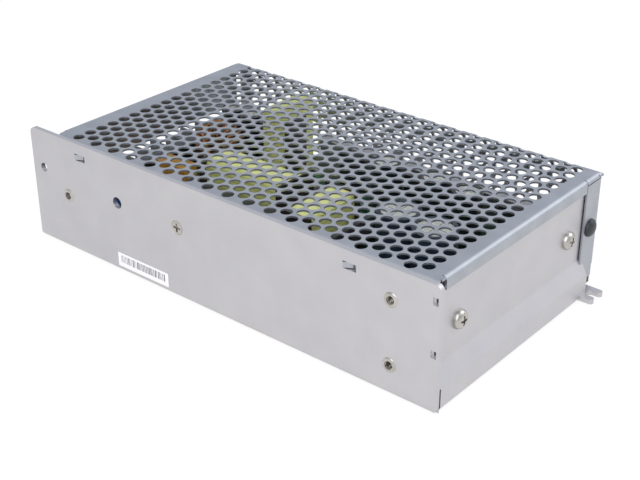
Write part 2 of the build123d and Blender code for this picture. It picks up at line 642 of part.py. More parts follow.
def terminal_clamps():
    """A square clamping plate under each screw head."""
    z0 = BOARD_TOP + TERMINAL_BASE + CONTACT_SHEET
    return Compound([bay_plate(y, z0, CLAMP_SHEET, TERMINAL_X0 + 1.4, 1.2) for y in POLE_YS])


def bay_plate(y, z0, sheet, x0, back_gap):
    """A flat plate in a bay, holed for the terminal screw."""
    x1 = TERMINAL_X1 - TERMINAL_BACK - back_gap
    plate = block(x0, x1, y - CONTACT_HALF, y + CONTACT_HALF, z0, z0 + sheet)
    return plate - prism(TERMINAL_MID_X, y, z0 - 1, z0 + sheet + 1, TERMINAL_SCREW[0] / 2 + SCREW_GAP)


def terminal_screws():
    """The wire screws, one for each bay."""
    z0 = BOARD_TOP + TERMINAL_BASE + CONTACT_SHEET + CLAMP_SHEET
    shank, head, tall = TERMINAL_SCREW
    length = CONTACT_SHEET + CLAMP_SHEET + TERMINAL_SCREW_IN
    return Compound([small_screw(TERMINAL_MID_X, y, z0, shank, length, (head, tall)) for y in POLE_YS])


def voltage_trimmer():
    """Body of the output voltage trimmer, with the rotor's seat in its left face."""
    x0, half = TRIMMER_X, TRIMMER_BODY[1] / 2
    body = block(x0, x0 + TRIMMER_BODY[0], TRIMMER_Y - half, TRIMMER_Y + half,
                 BOARD_TOP, BOARD_TOP + TRIMMER_BODY[2])
    seat = ROTOR_DIAMETER / 2 + ROTOR_GAP
    return body - rod_x(x0 - 1, x0 + ROTOR_DEPTH + ROTOR_GAP, TRIMMER_Y, TRIMMER_Z, seat)


def trimmer_rotor():
    """The slotted rotor that a screwdriver turns."""
    x0 = TRIMMER_X - ROTOR_OUT
    rotor = rod_x(x0, TRIMMER_X + ROTOR_DEPTH, TRIMMER_Y, TRIMMER_Z, ROTOR_DIAMETER / 2)
    long, wide = ROTOR_DIAMETER * 0.72 / 2, ROTOR_SLOT[0] / 2
    deep = x0 + ROTOR_SLOT[1]
    cross = block(x0 - 1, deep, TRIMMER_Y - long, TRIMMER_Y + long, TRIMMER_Z - wide, TRIMMER_Z + wide)
    cross += block(x0 - 1, deep, TRIMMER_Y - wide, TRIMMER_Y + wide, TRIMMER_Z - long, TRIMMER_Z + long)
    return rotor - cross


def power_lamp():
    """Small round lamp beside the trimmer."""
    r = LAMP_DIAMETER / 2
    x = BOARD_X0 + LAMP_IN
    rim = r + LAMP_RIM[0]
    outline = [(0, 0), (rim, 0), (rim, LAMP_RIM[1]), (r, LAMP_RIM[1]), (r, LAMP_HEIGHT - r),
               (0.5 * r, LAMP_HEIGHT), (0, LAMP_HEIGHT)]
    return turned(outline, Plane(origin=(x, LAMP_Y, BOARD_TOP)))


# Wound parts

def ring(radius, half, hollow=0.0):
    """Half outline of a ring of square section, hollow or not, beside the Z axis."""
    section = Rectangle(2 * half, 2 * half)
    if hollow:
        section -= Rectangle(2 * hollow, 2 * hollow)
    return Plane.XZ * Pos(radius, 0) * section


def toroid(place, radius, half, wire, arcs):
    """A ring core and its windings, as two shapes; the wire is a sleeve over the ring."""
    core = place * revolve(ring(radius, half - TOROID_GAP), Axis.Z)
    sleeve = ring(radius, half + wire, half)
    coils = [place * Rot(0, 0, a) * revolve(sleeve, Axis.Z, b - a) for a, b in arcs]
    return core, coils


def filter_choke():
    """Common-mode choke of the mains filter: it lies flat on its two windings."""
    x = on_board(0.207, 0)[0]
    z = BOARD_TOP + FILTER_RING[1] + FILTER_RING[2]
    return toroid(Pos(x, FILTER_CHOKE_Y, z), *FILTER_RING, [(20, 160), (200, 340)])


def output_choke():
    """Output choke, standing on edge with one copper winding."""
    x, y = on_board(0.168, 0.70)
    z = BOARD_TOP + OUTPUT_RING[0] + OUTPUT_RING[1] + OUTPUT_RING[2]
    return toroid(Pos(x, y, z) * Rot(90, 0, 0), *OUTPUT_RING, [(20, 340)])


def frame_core(length, depth, height, leg, centre):
    """Two E cores met nose to nose: a frame with a middle leg, drawn about the origin."""
    frame = Box(length, depth, height) - Box(length - 2 * leg, depth - 2 * leg, height + 1)
    return frame + Box(length - 2 * leg + 0.2, centre, height)


def transformer(place, core, leg, centre, winding, foot):
    """Core, bobbin and taped winding of one transformer, drawn along X about its own middle.

    core is length, depth and height; winding is depth and height; foot is how far the
    middle stands above the board.
    """
    length, depth, height = core
    gap, wall = WINDING_GAP, BOBBIN_WALL
    window = length - 2 * leg
    steel = frame_core(length, depth, height, leg, centre)
    inner_y, inner_z = centre + 2 * gap, height + 2 * gap
    hub_y, hub_z = inner_y + 2 * wall, inner_z + 2 * wall
    tube = window - 2 * gap
    bobbin = Box(tube, hub_y, hub_z)
    flange_y = depth - 2 * leg - 2 * gap
    flange_z = winding[1] + 1.0
    for side in (-1, 1):
        bobbin += Pos(side * (tube - wall) / 2, 0, 0) * Box(wall, flange_y, flange_z)
    bobbin -= Box(window + 1, inner_y, inner_z)
    for side in (-1, 1):
        rail = block(0, leg + wall, -flange_y / 2, flange_y / 2, -foot, -height / 2 - gap)
        shift = tube / 2 - wall
        bobbin += Pos(shift, 0, 0) * rail if side > 0 else Rot(0, 0, 180) * Pos(shift, 0, 0) * rail
    span = tube - 2 * wall - 2 * gap
    coil = Box(span, winding[0], winding[1])
    coil = fillet(coil.edges().filter_by(Axis.X), 0.22 * winding[0])
    coil -= Box(span + 1, hub_y + gap, hub_z + gap)
    return [place * shape for shape in (steel, bobbin, coil)]


def main_transformer():
    """The main transformer, along the case."""
    x, y = on_board(0.457, 0.325)
    foot = TALL - TAPE_TOP_GAP - MAIN_WINDING[1] / 2
    place = Pos(x, y, BOARD_TOP + foot)
    return transformer(place, MAIN_CORE, MAIN_LEG, MAIN_CENTRE, MAIN_WINDING, foot)


def drive_transformer():
    """The smaller transformer, across the case."""
    x, y = on_board(0.655, 0.245)
    foot = TALL - TAPE_TOP_GAP - SMALL_WINDING[1] / 2
    place = Pos(x, y, BOARD_TOP + foot) * Rot(0, 0, 90)
    return transformer(place, SMALL_CORE, SMALL_LEG, SMALL_CENTRE, SMALL_WINDING, foot)


def edge_choke():
    """A flat taped choke standing on edge: its frame and the coil in its window."""
    x, y = on_board(0.293, 0.872)
    thick, wide = EDGE_CHOKE
    tall = TALL - EDGE_CHOKE_TOP_GAP
    place = Pos(x, y, BOARD_TOP + tall / 2)
    inner_y, inner_z = wide - 2 * EDGE_CHOKE_FRAME, tall - 2 * EDGE_CHOKE_FRAME
    frame = Box(thick, wide, tall)
    frame = fillet(frame.edges().filter_by(Axis.X), EDGE_CHOKE_FRAME / 3)
    frame -= Box(thick + 1, inner_y, inner_z)
    play = 2 * WINDING_GAP
    coil = Box(thick + 2 * EDGE_CHOKE_BULGE, inner_y - play, inner_z - play)
    coil = fillet(coil.edges().filter_by(Axis.X), EDGE_CHOKE_FRAME / 4)
    return place * frame, place * coil


# Capacitors

def can_places():
    """Every electrolytic can: its place, diameter and height."""
    groups = ((BULK_PLACES, BULK), (MID_PLACES, MID), (SMALL_PLACES, SMALL))
    return [(*on_board(u, v), wide, TALL - gap) for places, (wide, gap) in groups for u, v in places]


def capacitor_cans(chosen):
    """Aluminium cans inside their sleeves."""
    cans = []
    for x, y, wide, tall in chosen:
        inside = wide / 2 - CAN_SKIN - CLINCH_GAP
        cans.append(prism(x, y, BOARD_TOP, BOARD_TOP + tall - CAN_SKIN - CLINCH_GAP, inside))
    return Compound(cans)


def capacitor_sleeves(chosen):
    """Printed shrink sleeves, turned in over the rims of the cans."""
    sleeves = []
    for x, y, wide, tall in chosen:
        top = BOARD_TOP + tall
        sleeve = post(x, y, BOARD_TOP, top, wide / 2)
        sleeve -= prism(x, y, BOARD_TOP - 1, top - CAN_SKIN, wide / 2 - CAN_SKIN)
        sleeves.append(sleeve - prism(x, y, BOARD_TOP, top + 1, wide / 2 - CAN_RIM))
    return Compound(sleeves)


def disc_part(x, y, size, across_x):
    """A dipped disc on two leads; its flat faces look along X or along Y."""
    wide, thick, lift = size
    radius = wide / 2
    z = BOARD_TOP + lift + radius
    part = Pos(x, y, z) * (Rot(0, 90, 0) if across_x else Rot(90, 0, 0)) * Cylinder(radius, thick)
    half = DISC_LEAD / 2
    for side in (-1, 1):
        lead_x, lead_y = (x, y + side * radius / 2) if across_x else (x + side * radius / 2, y)
        part += block(lead_x - half, lead_x + half, lead_y - half, lead_y + half, BOARD_TOP, z)
    return part


def varistor():
    """Surge absorber behind the long wall's access hole."""
    return disc_part(LEFT + ACCESS_HOLE[0], BOARD_Y0 + VARISTOR[1], VARISTOR, False)


def thermistor():
    """Inrush limiter."""
    x, y = on_board(0.112, 0.235)
    return disc_part(x, y, THERMISTOR, True)


def disc_capacitors():
    """Small blue safety capacitors."""
    places = [on_board(0.770, 0.115), on_board(0.828, 0.115)]
    return Compound([disc_part(x, y, SAFETY_DISC, False) for x, y in places])


def film_capacitor():
    """Mains filter capacitor in a moulded box."""
    x = on_board(0.145, 0)[0]
    long, wide, tall = FILM_BOX
    y = FILTER_CHOKE_Y + sum(FILTER_RING) + PART_GAP + wide / 2
    body = block(x - long / 2, x + long / 2, y - wide / 2, y + wide / 2, BOARD_TOP, BOARD_TOP + tall)
    return fillet(body.edges().filter_by(Axis.Z), wide / 10)


def fuse():
    """Glass fuse in two clips along the near edge."""
    x, y = on_board(FUSE_PLACE[0], 0)[0], FUSE_Y
    wide, long = FUSE_TUBE
    return rod_x(x - long / 2, x + long / 2, y, BOARD_TOP + FUSE_AXIS, wide / 2)


def fuse_ends():
    """End caps of the fuse and the clips that carry them."""
    x, y = on_board(FUSE_PLACE[0], 0)[0], FUSE_Y
    z = BOARD_TOP + FUSE_AXIS
    wide, long = FUSE_CAP
    start = FUSE_TUBE[1] / 2 + FUSE_GAP
    half = FUSE_TUBE[0] / 2 + FUSE_GAP
    ends = []
    for side in (-1, 1):
        x0, x1 = sorted((x + side * start, x + side * (start + long)))
        cap = rod_x(x0, x1, y, z, wide / 2)
        cap += block(x0, x1, y - half, y + half, BOARD_TOP, z)
        ends.append(cap)
    return Compound(ends)


# Semiconductors and small parts

def clamped_package(x, y, z, turn):
    """A fully moulded transistor flat against a wall, its screw hole at z, its leads on the board.

    It is drawn with its back on the YZ plane and its front towards +X, then turned.
    """
    wide, tall, thick = PACKAGE
    low = z - PACKAGE_HOLE_UP
    body = block(0, thick, -wide / 2, wide / 2, low, low + tall)
    body = chamfer(body.edges().filter_by(Axis.Y).group_by(Axis.X)[-1].sort_by(Axis.Z)[0], PACKAGE_LEAN)
    lead_x = thick / 2
    for y_offset in (-LEAD_PITCH, 0, LEAD_PITCH):
        body += block(lead_x, lead_x + LEAD[1], y_offset - LEAD[0] / 2, y_offset + LEAD[0] / 2,
                      BOARD_TOP, low + 0.5)
    return Pos(x, y, 0) * Rot(0, 0, turn) * body


def switching_transistors():
    """Two transistors clamped to the end wall."""
    parts = []
    for y in end_screw_places():
        hole = rod_x(WALL_IN - PACKAGE[2] - 1, WALL_IN + 1, y, END_SCREW_Z, M4 / 2 + SCREW_GAP)
        parts.append(clamped_package(WALL_IN, y, END_SCREW_Z, 180) - hole)
    return Compound(parts)


def wall_transistor():
    """One transistor clamped to the long wall."""
    x, z = LEFT + SIDE_SCREW[0], SIDE_SCREW[1]
    hole = rod_y(x, NEAR_IN - 1, NEAR_IN + PACKAGE[2] + 1, z, M3 / 2 + SCREW_GAP)
    return clamped_package(x, NEAR_IN, z, 90) - hole


def output_heatsink():
    """Extruded bar along the far edge, with fins on its back and a foot on the board."""
    x0, x1 = [on_board(u, 0)[0] for u in HEATSINK_ENDS]
    y1 = BOARD_Y1 - HEATSINK_BACK
    bar = block(x0, x1, y1 - HEATSINK_SHEET, y1, BOARD_TOP, HEATSINK_TOP)
    tall, deep = HEATSINK_FIN
    step = (HEATSINK_TOP - BOARD_TOP) / HEATSINK_FINS
    for i in range(HEATSINK_FINS):
        z = HEATSINK_TOP - tall - i * step
        bar += block(x0, x1, y1 - HEATSINK_SHEET / 2, y1 + deep, z, z + tall)
    return bar


def output_diodes():
    """Rectifiers clamped to the heatsink's near face."""
    y = BOARD_Y1 - HEATSINK_BACK - HEATSINK_SHEET
    parts = []
    for u in (0.46, 0.635, 0.87):
        x = on_board(u, 0)[0]
        parts.append(clamped_package(x, y, HEATSINK_TOP - DIODE_DROP, -90))
    return Compound(parts)


def bridge_rectifier():
    """Flat four-lead rectifier standing on edge."""
    x, y = on_board(0.905, 0.58)
    thick, wide, tall = BRIDGE
    low = BOARD_TOP + BRIDGE_LIFT
    body = block(x - thick / 2, x + thick / 2, y - wide / 2, y + wide / 2, low, low + tall)
    body = chamfer(body.edges().filter_by(Axis.X).group_by(Axis.Y)[-1].sort_by(Axis.Z)[-1], tall / 6)
    half_x, half_y = BRIDGE_LEAD[0] / 2, BRIDGE_LEAD[1] / 2
    for i in range(4):
        lead_y = y + BRIDGE_PITCH * (i - 1.5)
        body += block(x - half_x, x + half_x, lead_y - half_y, lead_y + half_y, BOARD_TOP, low + 0.5)
    return body


def control_board():
    """Small upright board of the regulator."""
    x0, y = on_board(CONTROL_U[0], CONTROL_V)
    x1 = on_board(CONTROL_U[1], CONTROL_V)[0]
    return block(x0, x1, y, y + CONTROL_SHEET, BOARD_TOP, BOARD_TOP + CONTROL_HEIGHT)


def control_chips():
    """Chips and chip capacitors on the regulator board."""
    x0, y = on_board(CONTROL_U[0], CONTROL_V)
    x1 = on_board(CONTROL_U[1], CONTROL_V)[0]
    chips = []
    for share, wide, tall, lift in CHIPS:
        x, low = x0 + share * (x1 - x0), BOARD_TOP + lift
        chips.append(block(x - wide / 2, x + wide / 2, y - CHIP_THICK, y, low, low + tall))
    return Compound(chips)


def optocouplers():
    """Two small packages that carry the feedback across the barrier."""
    parts = []
    for u in (0.505, 0.555):
        x, y = on_board(u, 0.60)
        parts.append(Pos(x, y, BOARD_TOP + OPTOCOUPLER[2] / 2) * Box(*OPTOCOUPLER))
    return Compound(parts)


def power_resistors():
    """Film resistors lying beside the chokes and the reservoir cans."""
    radius, half = RESISTOR[0] / 2, RESISTOR[1] / 2
    parts = []
    for u, v in ((0.40, 0.60), (0.40, 0.70), (0.72, 0.50), (0.79, 0.20)):
        x, y = on_board(u, v)
        body = Plane.YZ * RegularPolygon(radius, ROUND_SIDES)
        parts.append(Pos(x - half, y, BOARD_TOP + radius) * extrude(body, 2 * half))
    return Compound(parts)


def barcode_label():
    """Small paper label low on the long wall."""
    x0, z0 = LEFT + LABEL_CORNER[0], LABEL_CORNER[1]
    long, tall, thick = LABEL
    return block(x0, x0 + long, NEAR - thick, NEAR, z0, z0 + tall)


def build_all():
    """Every piece by the name of its node."""
    cans = can_places()
    bulk, rest = cans[:len(BULK_PLACES)], cans[len(BULK_PLACES):]
    filter_core, filter_coils = filter_choke()
    output_core, output_coils = output_choke()
    main = main_transformer()
    drive = drive_transformer()
    edge_frame, edge_coil = edge_choke()
    return {
        "chassis": chassis(),
        "perforated_cover": perforated_cover(),
        "mounting_inserts": mounting_inserts(),
        "side_screw": side_screw(),
        "end_screws": end_screws(),
        "clamp_nuts": clamp_nuts(),
        "snap_rivet": snap_rivet(),
        "insulating_sheet": insulating_sheet(),
        "circuit_board": circuit_board(),
        "board_standoffs": board_standoffs(),
        "board_screws": board_screws(),
        "terminal_block": terminal_block(),
        "terminal_contacts": terminal_contacts(),
        "terminal_clamps": terminal_clamps(),
        "terminal_screws": terminal_screws(),
        "voltage_trimmer": voltage_trimmer(),
        "trimmer_rotor": trimmer_rotor(),
        "power_lamp": power_lamp(),
        "filter_choke_core": filter_core,
        "filter_choke_windings": Compound(filter_coils),
        "output_choke_core": output_core,
        "output_choke_winding": Compound(output_coils),
        "main_transformer_core": main[0],
        "main_transformer_bobbin": main[1],
        "main_transformer_winding": main[2],
        "drive_transformer_core": drive[0],
        "drive_transformer_bobbin": drive[1],
        "drive_transformer_winding": drive[2],
        "edge_choke_frame": edge_frame,
        "edge_choke_coil": edge_coil,
        "reservoir_cans": capacitor_cans(bulk),
        "reservoir_sleeves": capacitor_sleeves(bulk),
        "smoothing_cans": capacitor_cans(rest),
        "smoothing_sleeves": capacitor_sleeves(rest),
        "varistor": varistor(),
        "thermistor": thermistor(),
        "disc_capacitors": disc_capacitors(),
        "film_capacitor": film_capacitor(),
        "fuse": fuse(),
        "fuse_ends": fuse_ends(),
        "switching_transistors": switching_transistors(),
        "wall_transistor": wall_transistor(),
        "output_heatsink": output_heatsink(),
        "output_diodes": output_diodes(),
        "bridge_rectifier": bridge_rectifier(),
        "control_board": control_board(),
        "control_chips": control_chips(),
        "optocouplers": optocouplers(),
        "power_resistors": power_resistors(),
        "barcode_label": barcode_label(),
    }


os.makedirs("parts", exist_ok=True)
for name, shape in build_all().items():
    export_step(shape, f"parts/{name}.step")
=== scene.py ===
# %% [markdown]
# # A switching power supply in a perforated case
# The object is a bent aluminium chassis with a perforated steel cover snapped and riveted to it.
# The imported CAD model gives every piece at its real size, and this script gives the surfaces.
# Lengths are in metres, in the frame of the CAD model: +X runs from the terminals to the end wall,
# +Y away from the long plain wall, +Z up, and the base's underside lies at zero.

# %% Load the frame
import json
import math

import bmesh
import bpy
from mathutils import Matrix, Vector


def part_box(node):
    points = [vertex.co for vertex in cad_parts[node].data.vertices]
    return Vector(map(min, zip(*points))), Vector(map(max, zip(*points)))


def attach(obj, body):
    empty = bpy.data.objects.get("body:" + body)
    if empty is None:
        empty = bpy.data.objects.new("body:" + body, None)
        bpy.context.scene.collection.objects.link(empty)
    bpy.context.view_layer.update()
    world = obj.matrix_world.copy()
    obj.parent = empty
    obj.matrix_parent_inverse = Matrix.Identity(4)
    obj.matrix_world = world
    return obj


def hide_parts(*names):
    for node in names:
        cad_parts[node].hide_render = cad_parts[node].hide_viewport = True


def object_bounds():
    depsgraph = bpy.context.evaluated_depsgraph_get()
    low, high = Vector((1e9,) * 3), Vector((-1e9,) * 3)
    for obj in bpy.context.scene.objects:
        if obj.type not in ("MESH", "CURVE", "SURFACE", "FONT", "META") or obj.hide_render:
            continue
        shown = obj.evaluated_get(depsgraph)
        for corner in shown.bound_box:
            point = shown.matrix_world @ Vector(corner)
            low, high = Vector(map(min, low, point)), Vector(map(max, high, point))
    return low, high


MM = 0.001
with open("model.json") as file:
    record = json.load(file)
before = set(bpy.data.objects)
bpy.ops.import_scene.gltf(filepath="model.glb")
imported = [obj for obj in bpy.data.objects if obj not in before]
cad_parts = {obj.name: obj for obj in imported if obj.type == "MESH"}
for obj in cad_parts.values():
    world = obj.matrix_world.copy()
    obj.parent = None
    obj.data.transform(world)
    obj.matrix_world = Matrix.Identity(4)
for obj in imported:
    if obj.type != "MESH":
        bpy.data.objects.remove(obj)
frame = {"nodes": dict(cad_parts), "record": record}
cad_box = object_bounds()
nodes = frame["nodes"]
scene = bpy.context.scene
print("CAD nodes", len(nodes), "box", [tuple(round(v / MM, 1) for v in corner) for corner in cad_box])

# %% [markdown]
# ## Helpers
# Every colour below is written as it looks on a screen, as an sRGB hex value, and Blender's shaders
# want linear light, so one function turns one into the other. One function adds a node of any kind,
# to a material or to a Geometry Nodes tree, and feeds its inputs. Two open and close a tree. One
# runs a tree and keeps its result as a plain mesh, because the export and the poses need plain
# meshes. The last one says that a piece moves with the case and which CAD nodes it stands for, and
# hides those. All new pieces are fixed to the case; the rotor is a CAD piece.

# %% Helpers
def linear(hex_colour):
    """An sRGB hex colour as linear red, green, blue and alpha."""
    shares = [int(hex_colour[i:i + 2], 16) / 255 for i in (1, 3, 5)]
    return (*[c / 12.92 if c <= 0.04045 else ((c + 0.055) / 1.055) ** 2.4 for c in shares], 1.0)


def put(name, data):
    """Puts a mesh, a camera or a lamp into the scene as an object."""
    made = bpy.data.objects.new(name, data)
    scene.collection.objects.link(made)
    return made


def socket_of(sockets, key):
    """The socket of a name, or of an identifier where sockets of several types share a name."""
    return sockets[key] if key in sockets else next(s for s in sockets if s.identifier == key)


def add(tree, kind, *feeds, named=None, **settings):
    """Adds one node. feeds go to its inputs in order, named to the inputs of those names.

    A feed is a value, a socket, a node (its first output), or None to leave that input alone.
    """
    made = tree.nodes.new(kind)
    for key, value in settings.items():
        setattr(made, key, value)
    pairs = list(zip(made.inputs, feeds))
    pairs += [(socket_of(made.inputs, key), value) for key, value in (named or {}).items()]
    for socket, value in pairs:
        if isinstance(value, bpy.types.Node):
            value = value.outputs[0]
        if isinstance(value, bpy.types.NodeSocket):
            tree.links.new(value, socket)
        elif value is not None:
            socket.default_value = value
    return made


def new_tree(name, **inputs):
    """A Geometry Nodes tree with a geometry input and output, and an input for each named size."""
    tree = bpy.data.node_groups.new(name, "GeometryNodeTree")
    tree.interface.new_socket("Geometry", in_out="INPUT", socket_type="NodeSocketGeometry")
    for label, value in inputs.items():
        kind = {int: "NodeSocketInt", float: "NodeSocketFloat", tuple: "NodeSocketVector"}[type(value)]
        tree.interface.new_socket(label, in_out="INPUT", socket_type=kind).default_value = value
    tree.interface.new_socket("Geometry", in_out="OUTPUT", socket_type="NodeSocketGeometry")
    return tree, add(tree, "NodeGroupInput").outputs


def close_tree(tree, geometry, material):
    """Ends a tree: instances become real faces and take their material."""
    real = add(tree, "GeometryNodeRealizeInstances", geometry)
    painted = add(tree, "GeometryNodeSetMaterial", real, None, material)
    add(tree, "NodeGroupOutput", painted)


def grow(name, tree, mesh=None, **values):
    """Runs a tree on a mesh, keeps the result as a plain mesh and gives the finished object."""
    made = put(name, mesh or bpy.data.meshes.new(name))
    modifier = made.modifiers.new("Grow", "NODES")
    modifier.node_group = tree
    for item in tree.interface.items_tree:
        if item.in_out == "INPUT" and item.name in values:
            modifier[item.identifier] = values[item.name]
    graph = bpy.context.evaluated_depsgraph_get()
    result = bpy.data.meshes.new_from_object(made.evaluated_get(graph))
    made.modifiers.clear()
    made.data = result
    return made


def keep(made, slot, *names):
    """Puts a finished object on the case in place of the named CAD nodes; the slot argument is not used."""
    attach(made, "case")
    if names:
        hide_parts(*names)
    print(made.name, len(made.data.polygons), "faces")


print("helpers ready")

# %% [markdown]
# ## Camera, floor and light
# The camera stands where the photograph was taken from: its place, its turn and its lens come from
# the edges and the rows of holes in the picture. The light is that of a white tent, soft and even,
# with one lamp beside the camera that reaches through the holes, and one far above. The floor looks
# white to the camera and in mirror images, and the tent's upper part is a little cooler and darker
# in mirror images, which gives the flat top its blue tone against the paler flanges.

# %% Camera, floor and light
CAMERA_PLACE = (0.289134, -0.339588, 0.248282)
CAMERA_RIGHT = (0.768865, 0.639409, -0.001587)
CAMERA_UP = (-0.300878, 0.363983, 0.881470)
CAMERA_BACK = (0.564197, -0.677254, 0.472238)
CAMERA_LENS = 69.885
SENSOR_WIDTH = 36.0
NEAREST_SEEN = 0.01
FLOOR_SIZE = 6.0
FLOOR_BELOW = 0.0001
FLOOR_TONE = "#F7F7F8"
WORLD_STRENGTH = 0.95
MIRRORED_TENT = "#D5DAE3"
FLOOR_WHITE = 0.8
LAMPS = (
    # name, place, size, power
    ("beside the camera", (0.22, -0.60, 0.55), 0.8, 4.4),
    ("far above", (0.55, 0.72, 0.70), 0.9, 4.3),
)

camera = put("camera", bpy.data.cameras.new("camera"))
turn = Matrix((CAMERA_RIGHT, CAMERA_UP, CAMERA_BACK)).transposed().to_4x4()
camera.matrix_world = Matrix.Translation(CAMERA_PLACE) @ turn
camera.data.lens = CAMERA_LENS
camera.data.sensor_width = SENSOR_WIDTH
camera.data.clip_start = NEAREST_SEEN
scene.camera = camera
scene.view_settings.view_transform = "Standard"

middle = (cad_box[0] + cad_box[1]) / 2
for name, place, size, power in LAMPS:
    lamp = bpy.data.lights.new(name, "AREA")
    lamp.size = size
    lamp.energy = power
    holder = put(name, lamp)
    holder.location = place
    holder.rotation_euler = (middle - Vector(place)).to_track_quat("-Z", "Y").to_euler()


def seen_as(tree, lit, colour, strength, *rays):
    """Mixes a lit shader with a plain colour for the named kinds of rays."""
    path = add(tree, "ShaderNodeLightPath")
    share = 0.0
    for ray in rays:
        share = add(tree, "ShaderNodeMath", share, path.outputs["Is " + ray + " Ray"], operation="MAXIMUM")
    share = add(tree, "ShaderNodeMath", share, strength, operation="MULTIPLY")
    return add(tree, "ShaderNodeMixShader", share, lit, add(tree, "ShaderNodeEmission", linear(colour), 1.0))


world = bpy.data.worlds.new("white tent")
scene.world = world
world.use_nodes = True
world.node_tree.nodes.clear()
sky = add(world.node_tree, "ShaderNodeBackground", (1, 1, 1, 1), WORLD_STRENGTH)
sky = seen_as(world.node_tree, sky, MIRRORED_TENT, 1.0, "Glossy")
sky = seen_as(world.node_tree, sky, "#FFFFFF", 1.0, "Camera", "Transmission")
add(world.node_tree, "ShaderNodeOutputWorld", sky)

floor_material = bpy.data.materials.new("pale paper sweep")
floor_material.use_nodes = True
floor_material.node_tree.nodes.clear()
paper = add(floor_material.node_tree, "ShaderNodeBsdfDiffuse", linear(FLOOR_TONE))
paper = seen_as(floor_material.node_tree, paper, "#FFFFFF", FLOOR_WHITE, "Camera", "Glossy", "Transmission")
add(floor_material.node_tree, "ShaderNodeOutputMaterial", paper)
bpy.ops.mesh.primitive_plane_add(size=FLOOR_SIZE, location=(0, 0, -FLOOR_BELOW))
floor = bpy.context.object
floor.name = "floor"
floor.data.materials.append(floor_material)
print("camera at", CAMERA_PLACE, "lamps", [lamp[0] for lamp in LAMPS])

# %% [markdown]
# ## One start for every material
# Real surfaces are never one flat colour: rolled sheet has a grain, a moulding has a slight orange
# peel, paper has fibres. So each material starts from two close tones, mixed by a noise whose grain
# is a real size in millimetres, and the same noise gives a trace of relief. A second function lays
# even bands over a finish, for layers of tape. All patterns read Object coordinates, so they stay on
# the piece, and nothing depends on where the camera stands.

# %% Start of a material
NOISE_DETAIL = 3.0
TONES_FROM, TONES_TO = 0.3, 0.7
COAT_ROUGHNESS = 0.12
# a wave texture of scale 1 has this many waves in a metre
WAVES_IN_METRE = 10 / math.pi


def surface(name, tones, grain, roughness, metallic=0.0, relief=0.0, coat=0.0):
    """A material of two close tones; its grain and relief are in millimetres."""
    made = bpy.data.materials.new(name)
    made.use_nodes = True
    tree = made.node_tree
    tree.nodes.clear()
    place = add(tree, "ShaderNodeTexCoord").outputs["Object"]
    noise = add(tree, "ShaderNodeTexNoise", named={
        "Vector": place, "Scale": 1 / (grain * MM), "Detail": NOISE_DETAIL})
    ramp = add(tree, "ShaderNodeValToRGB", noise)
    for stop, position, tone in zip(ramp.color_ramp.elements, (TONES_FROM, TONES_TO), tones):
        stop.position = position
        stop.color = linear(tone)
    shader = add(tree, "ShaderNodeBsdfPrincipled", ramp, metallic, roughness)
    shader.name = "finish"
    if coat:
        shader.inputs["Coat Weight"].default_value = coat
        shader.inputs["Coat Roughness"].default_value = COAT_ROUGHNESS
    if relief:
        bump = add(tree, "ShaderNodeBump", named={"Height": noise, "Distance": relief * MM})
        tree.links.new(bump.outputs[0], shader.inputs["Normal"])
    add(tree, "ShaderNodeOutputMaterial", shader)
    return made


def bands(material, pitch, tones, axis, relief):
    """Lays even bands across an axis over a material: their pitch and relief are in millimetres."""
    tree = material.node_tree
    shader = tree.nodes["finish"]
    place = add(tree, "ShaderNodeTexCoord").outputs["Object"]
    wave = add(tree, "ShaderNodeTexWave", bands_direction=axis, named={
        "Vector": place, "Scale": 1 / (WAVES_IN_METRE * pitch * MM), "Distortion": 0.6, "Detail": 1.0})
    ramp = add(tree, "ShaderNodeValToRGB", wave.outputs["Fac"])
    for stop, tone in zip(ramp.color_ramp.elements, tones):
        stop.color = linear(tone)
    tree.links.new(ramp.outputs[0], shader.inputs["Base Color"])
    bump = add(tree, "ShaderNodeBump", named={"Height": wave.outputs["Fac"], "Distance": relief * MM})
    tree.links.new(bump.outputs[0], shader.inputs["Normal"])
    return material


print("materials start from two tones and a grain")

# %% [markdown]
# ## Sheet metal and plating
# The chassis is soft aluminium sheet as it comes from the mill: matt, pale, faintly warm and almost
# without grain. The cover is thin steel with a clear-passivated zinc plating: bluer and darker, with
# the faint cloudiness of the plating bath. Screws and clinched inserts are nickel plated, which is
# warmer and much shinier, and terminals are tinned. Metals get their look from what they mirror, so
# only the tone and the roughness change from one to the next.

# %% Sheet metal and plating
# pale warm grey with a soft broad sheen, so that the bends show as light bands
aluminium = surface("mill_finish_aluminium", ("#C6C4C7", "#CBC9CB"), 14.0, 0.5, 1.0, 0.002)
# cooler than the chassis, with large faint clouds
zinc = surface("zinc_plated_steel", ("#ABAEB4", "#B5B8BE"), 9.0, 0.5, 1.0, 0.002)
# silver with a warm trace and soft bright reflections, which mark the small heads
nickel = surface("bright_nickel_plating", ("#B4B0AA", "#C4C0BA"), 3.0, 0.3, 1.0)
# dull silver with a yellow trace where the tin is thin
tin = surface("tin_plated_brass", ("#B9B6AC", "#CFCCC2"), 0.7, 0.3, 1.0)
# pale and slightly creamy, drawn smooth: the can tops are the lightest thing under the cover
can_metal = surface("drawn_aluminium_can", ("#D9DBD6", "#E5E7E1"), 1.0, 0.5, 0.35, 0.002)
print("metals", [m.name for m in (aluminium, zinc, nickel, tin, can_metal)])

# %% [markdown]
# ## Circuit board
# A board is a glass-epoxy sheet under green solder mask. The copper tracks lie below the mask as
# slightly raised, lighter lines, and they could be drawn one by one. From outside they are seen
# only in bits through the holes, so a pattern of bricks with wide mortar stands for them. The cut
# edge at the open end shows bare glass fibre, so the pattern leaves out faces that look along X.

# %% Circuit board
TRACK_GRID = 6.0
TRACK_RELIEF = 0.035
# a face whose normal has more than this along X is a cut edge
CUT_EDGE = 0.5


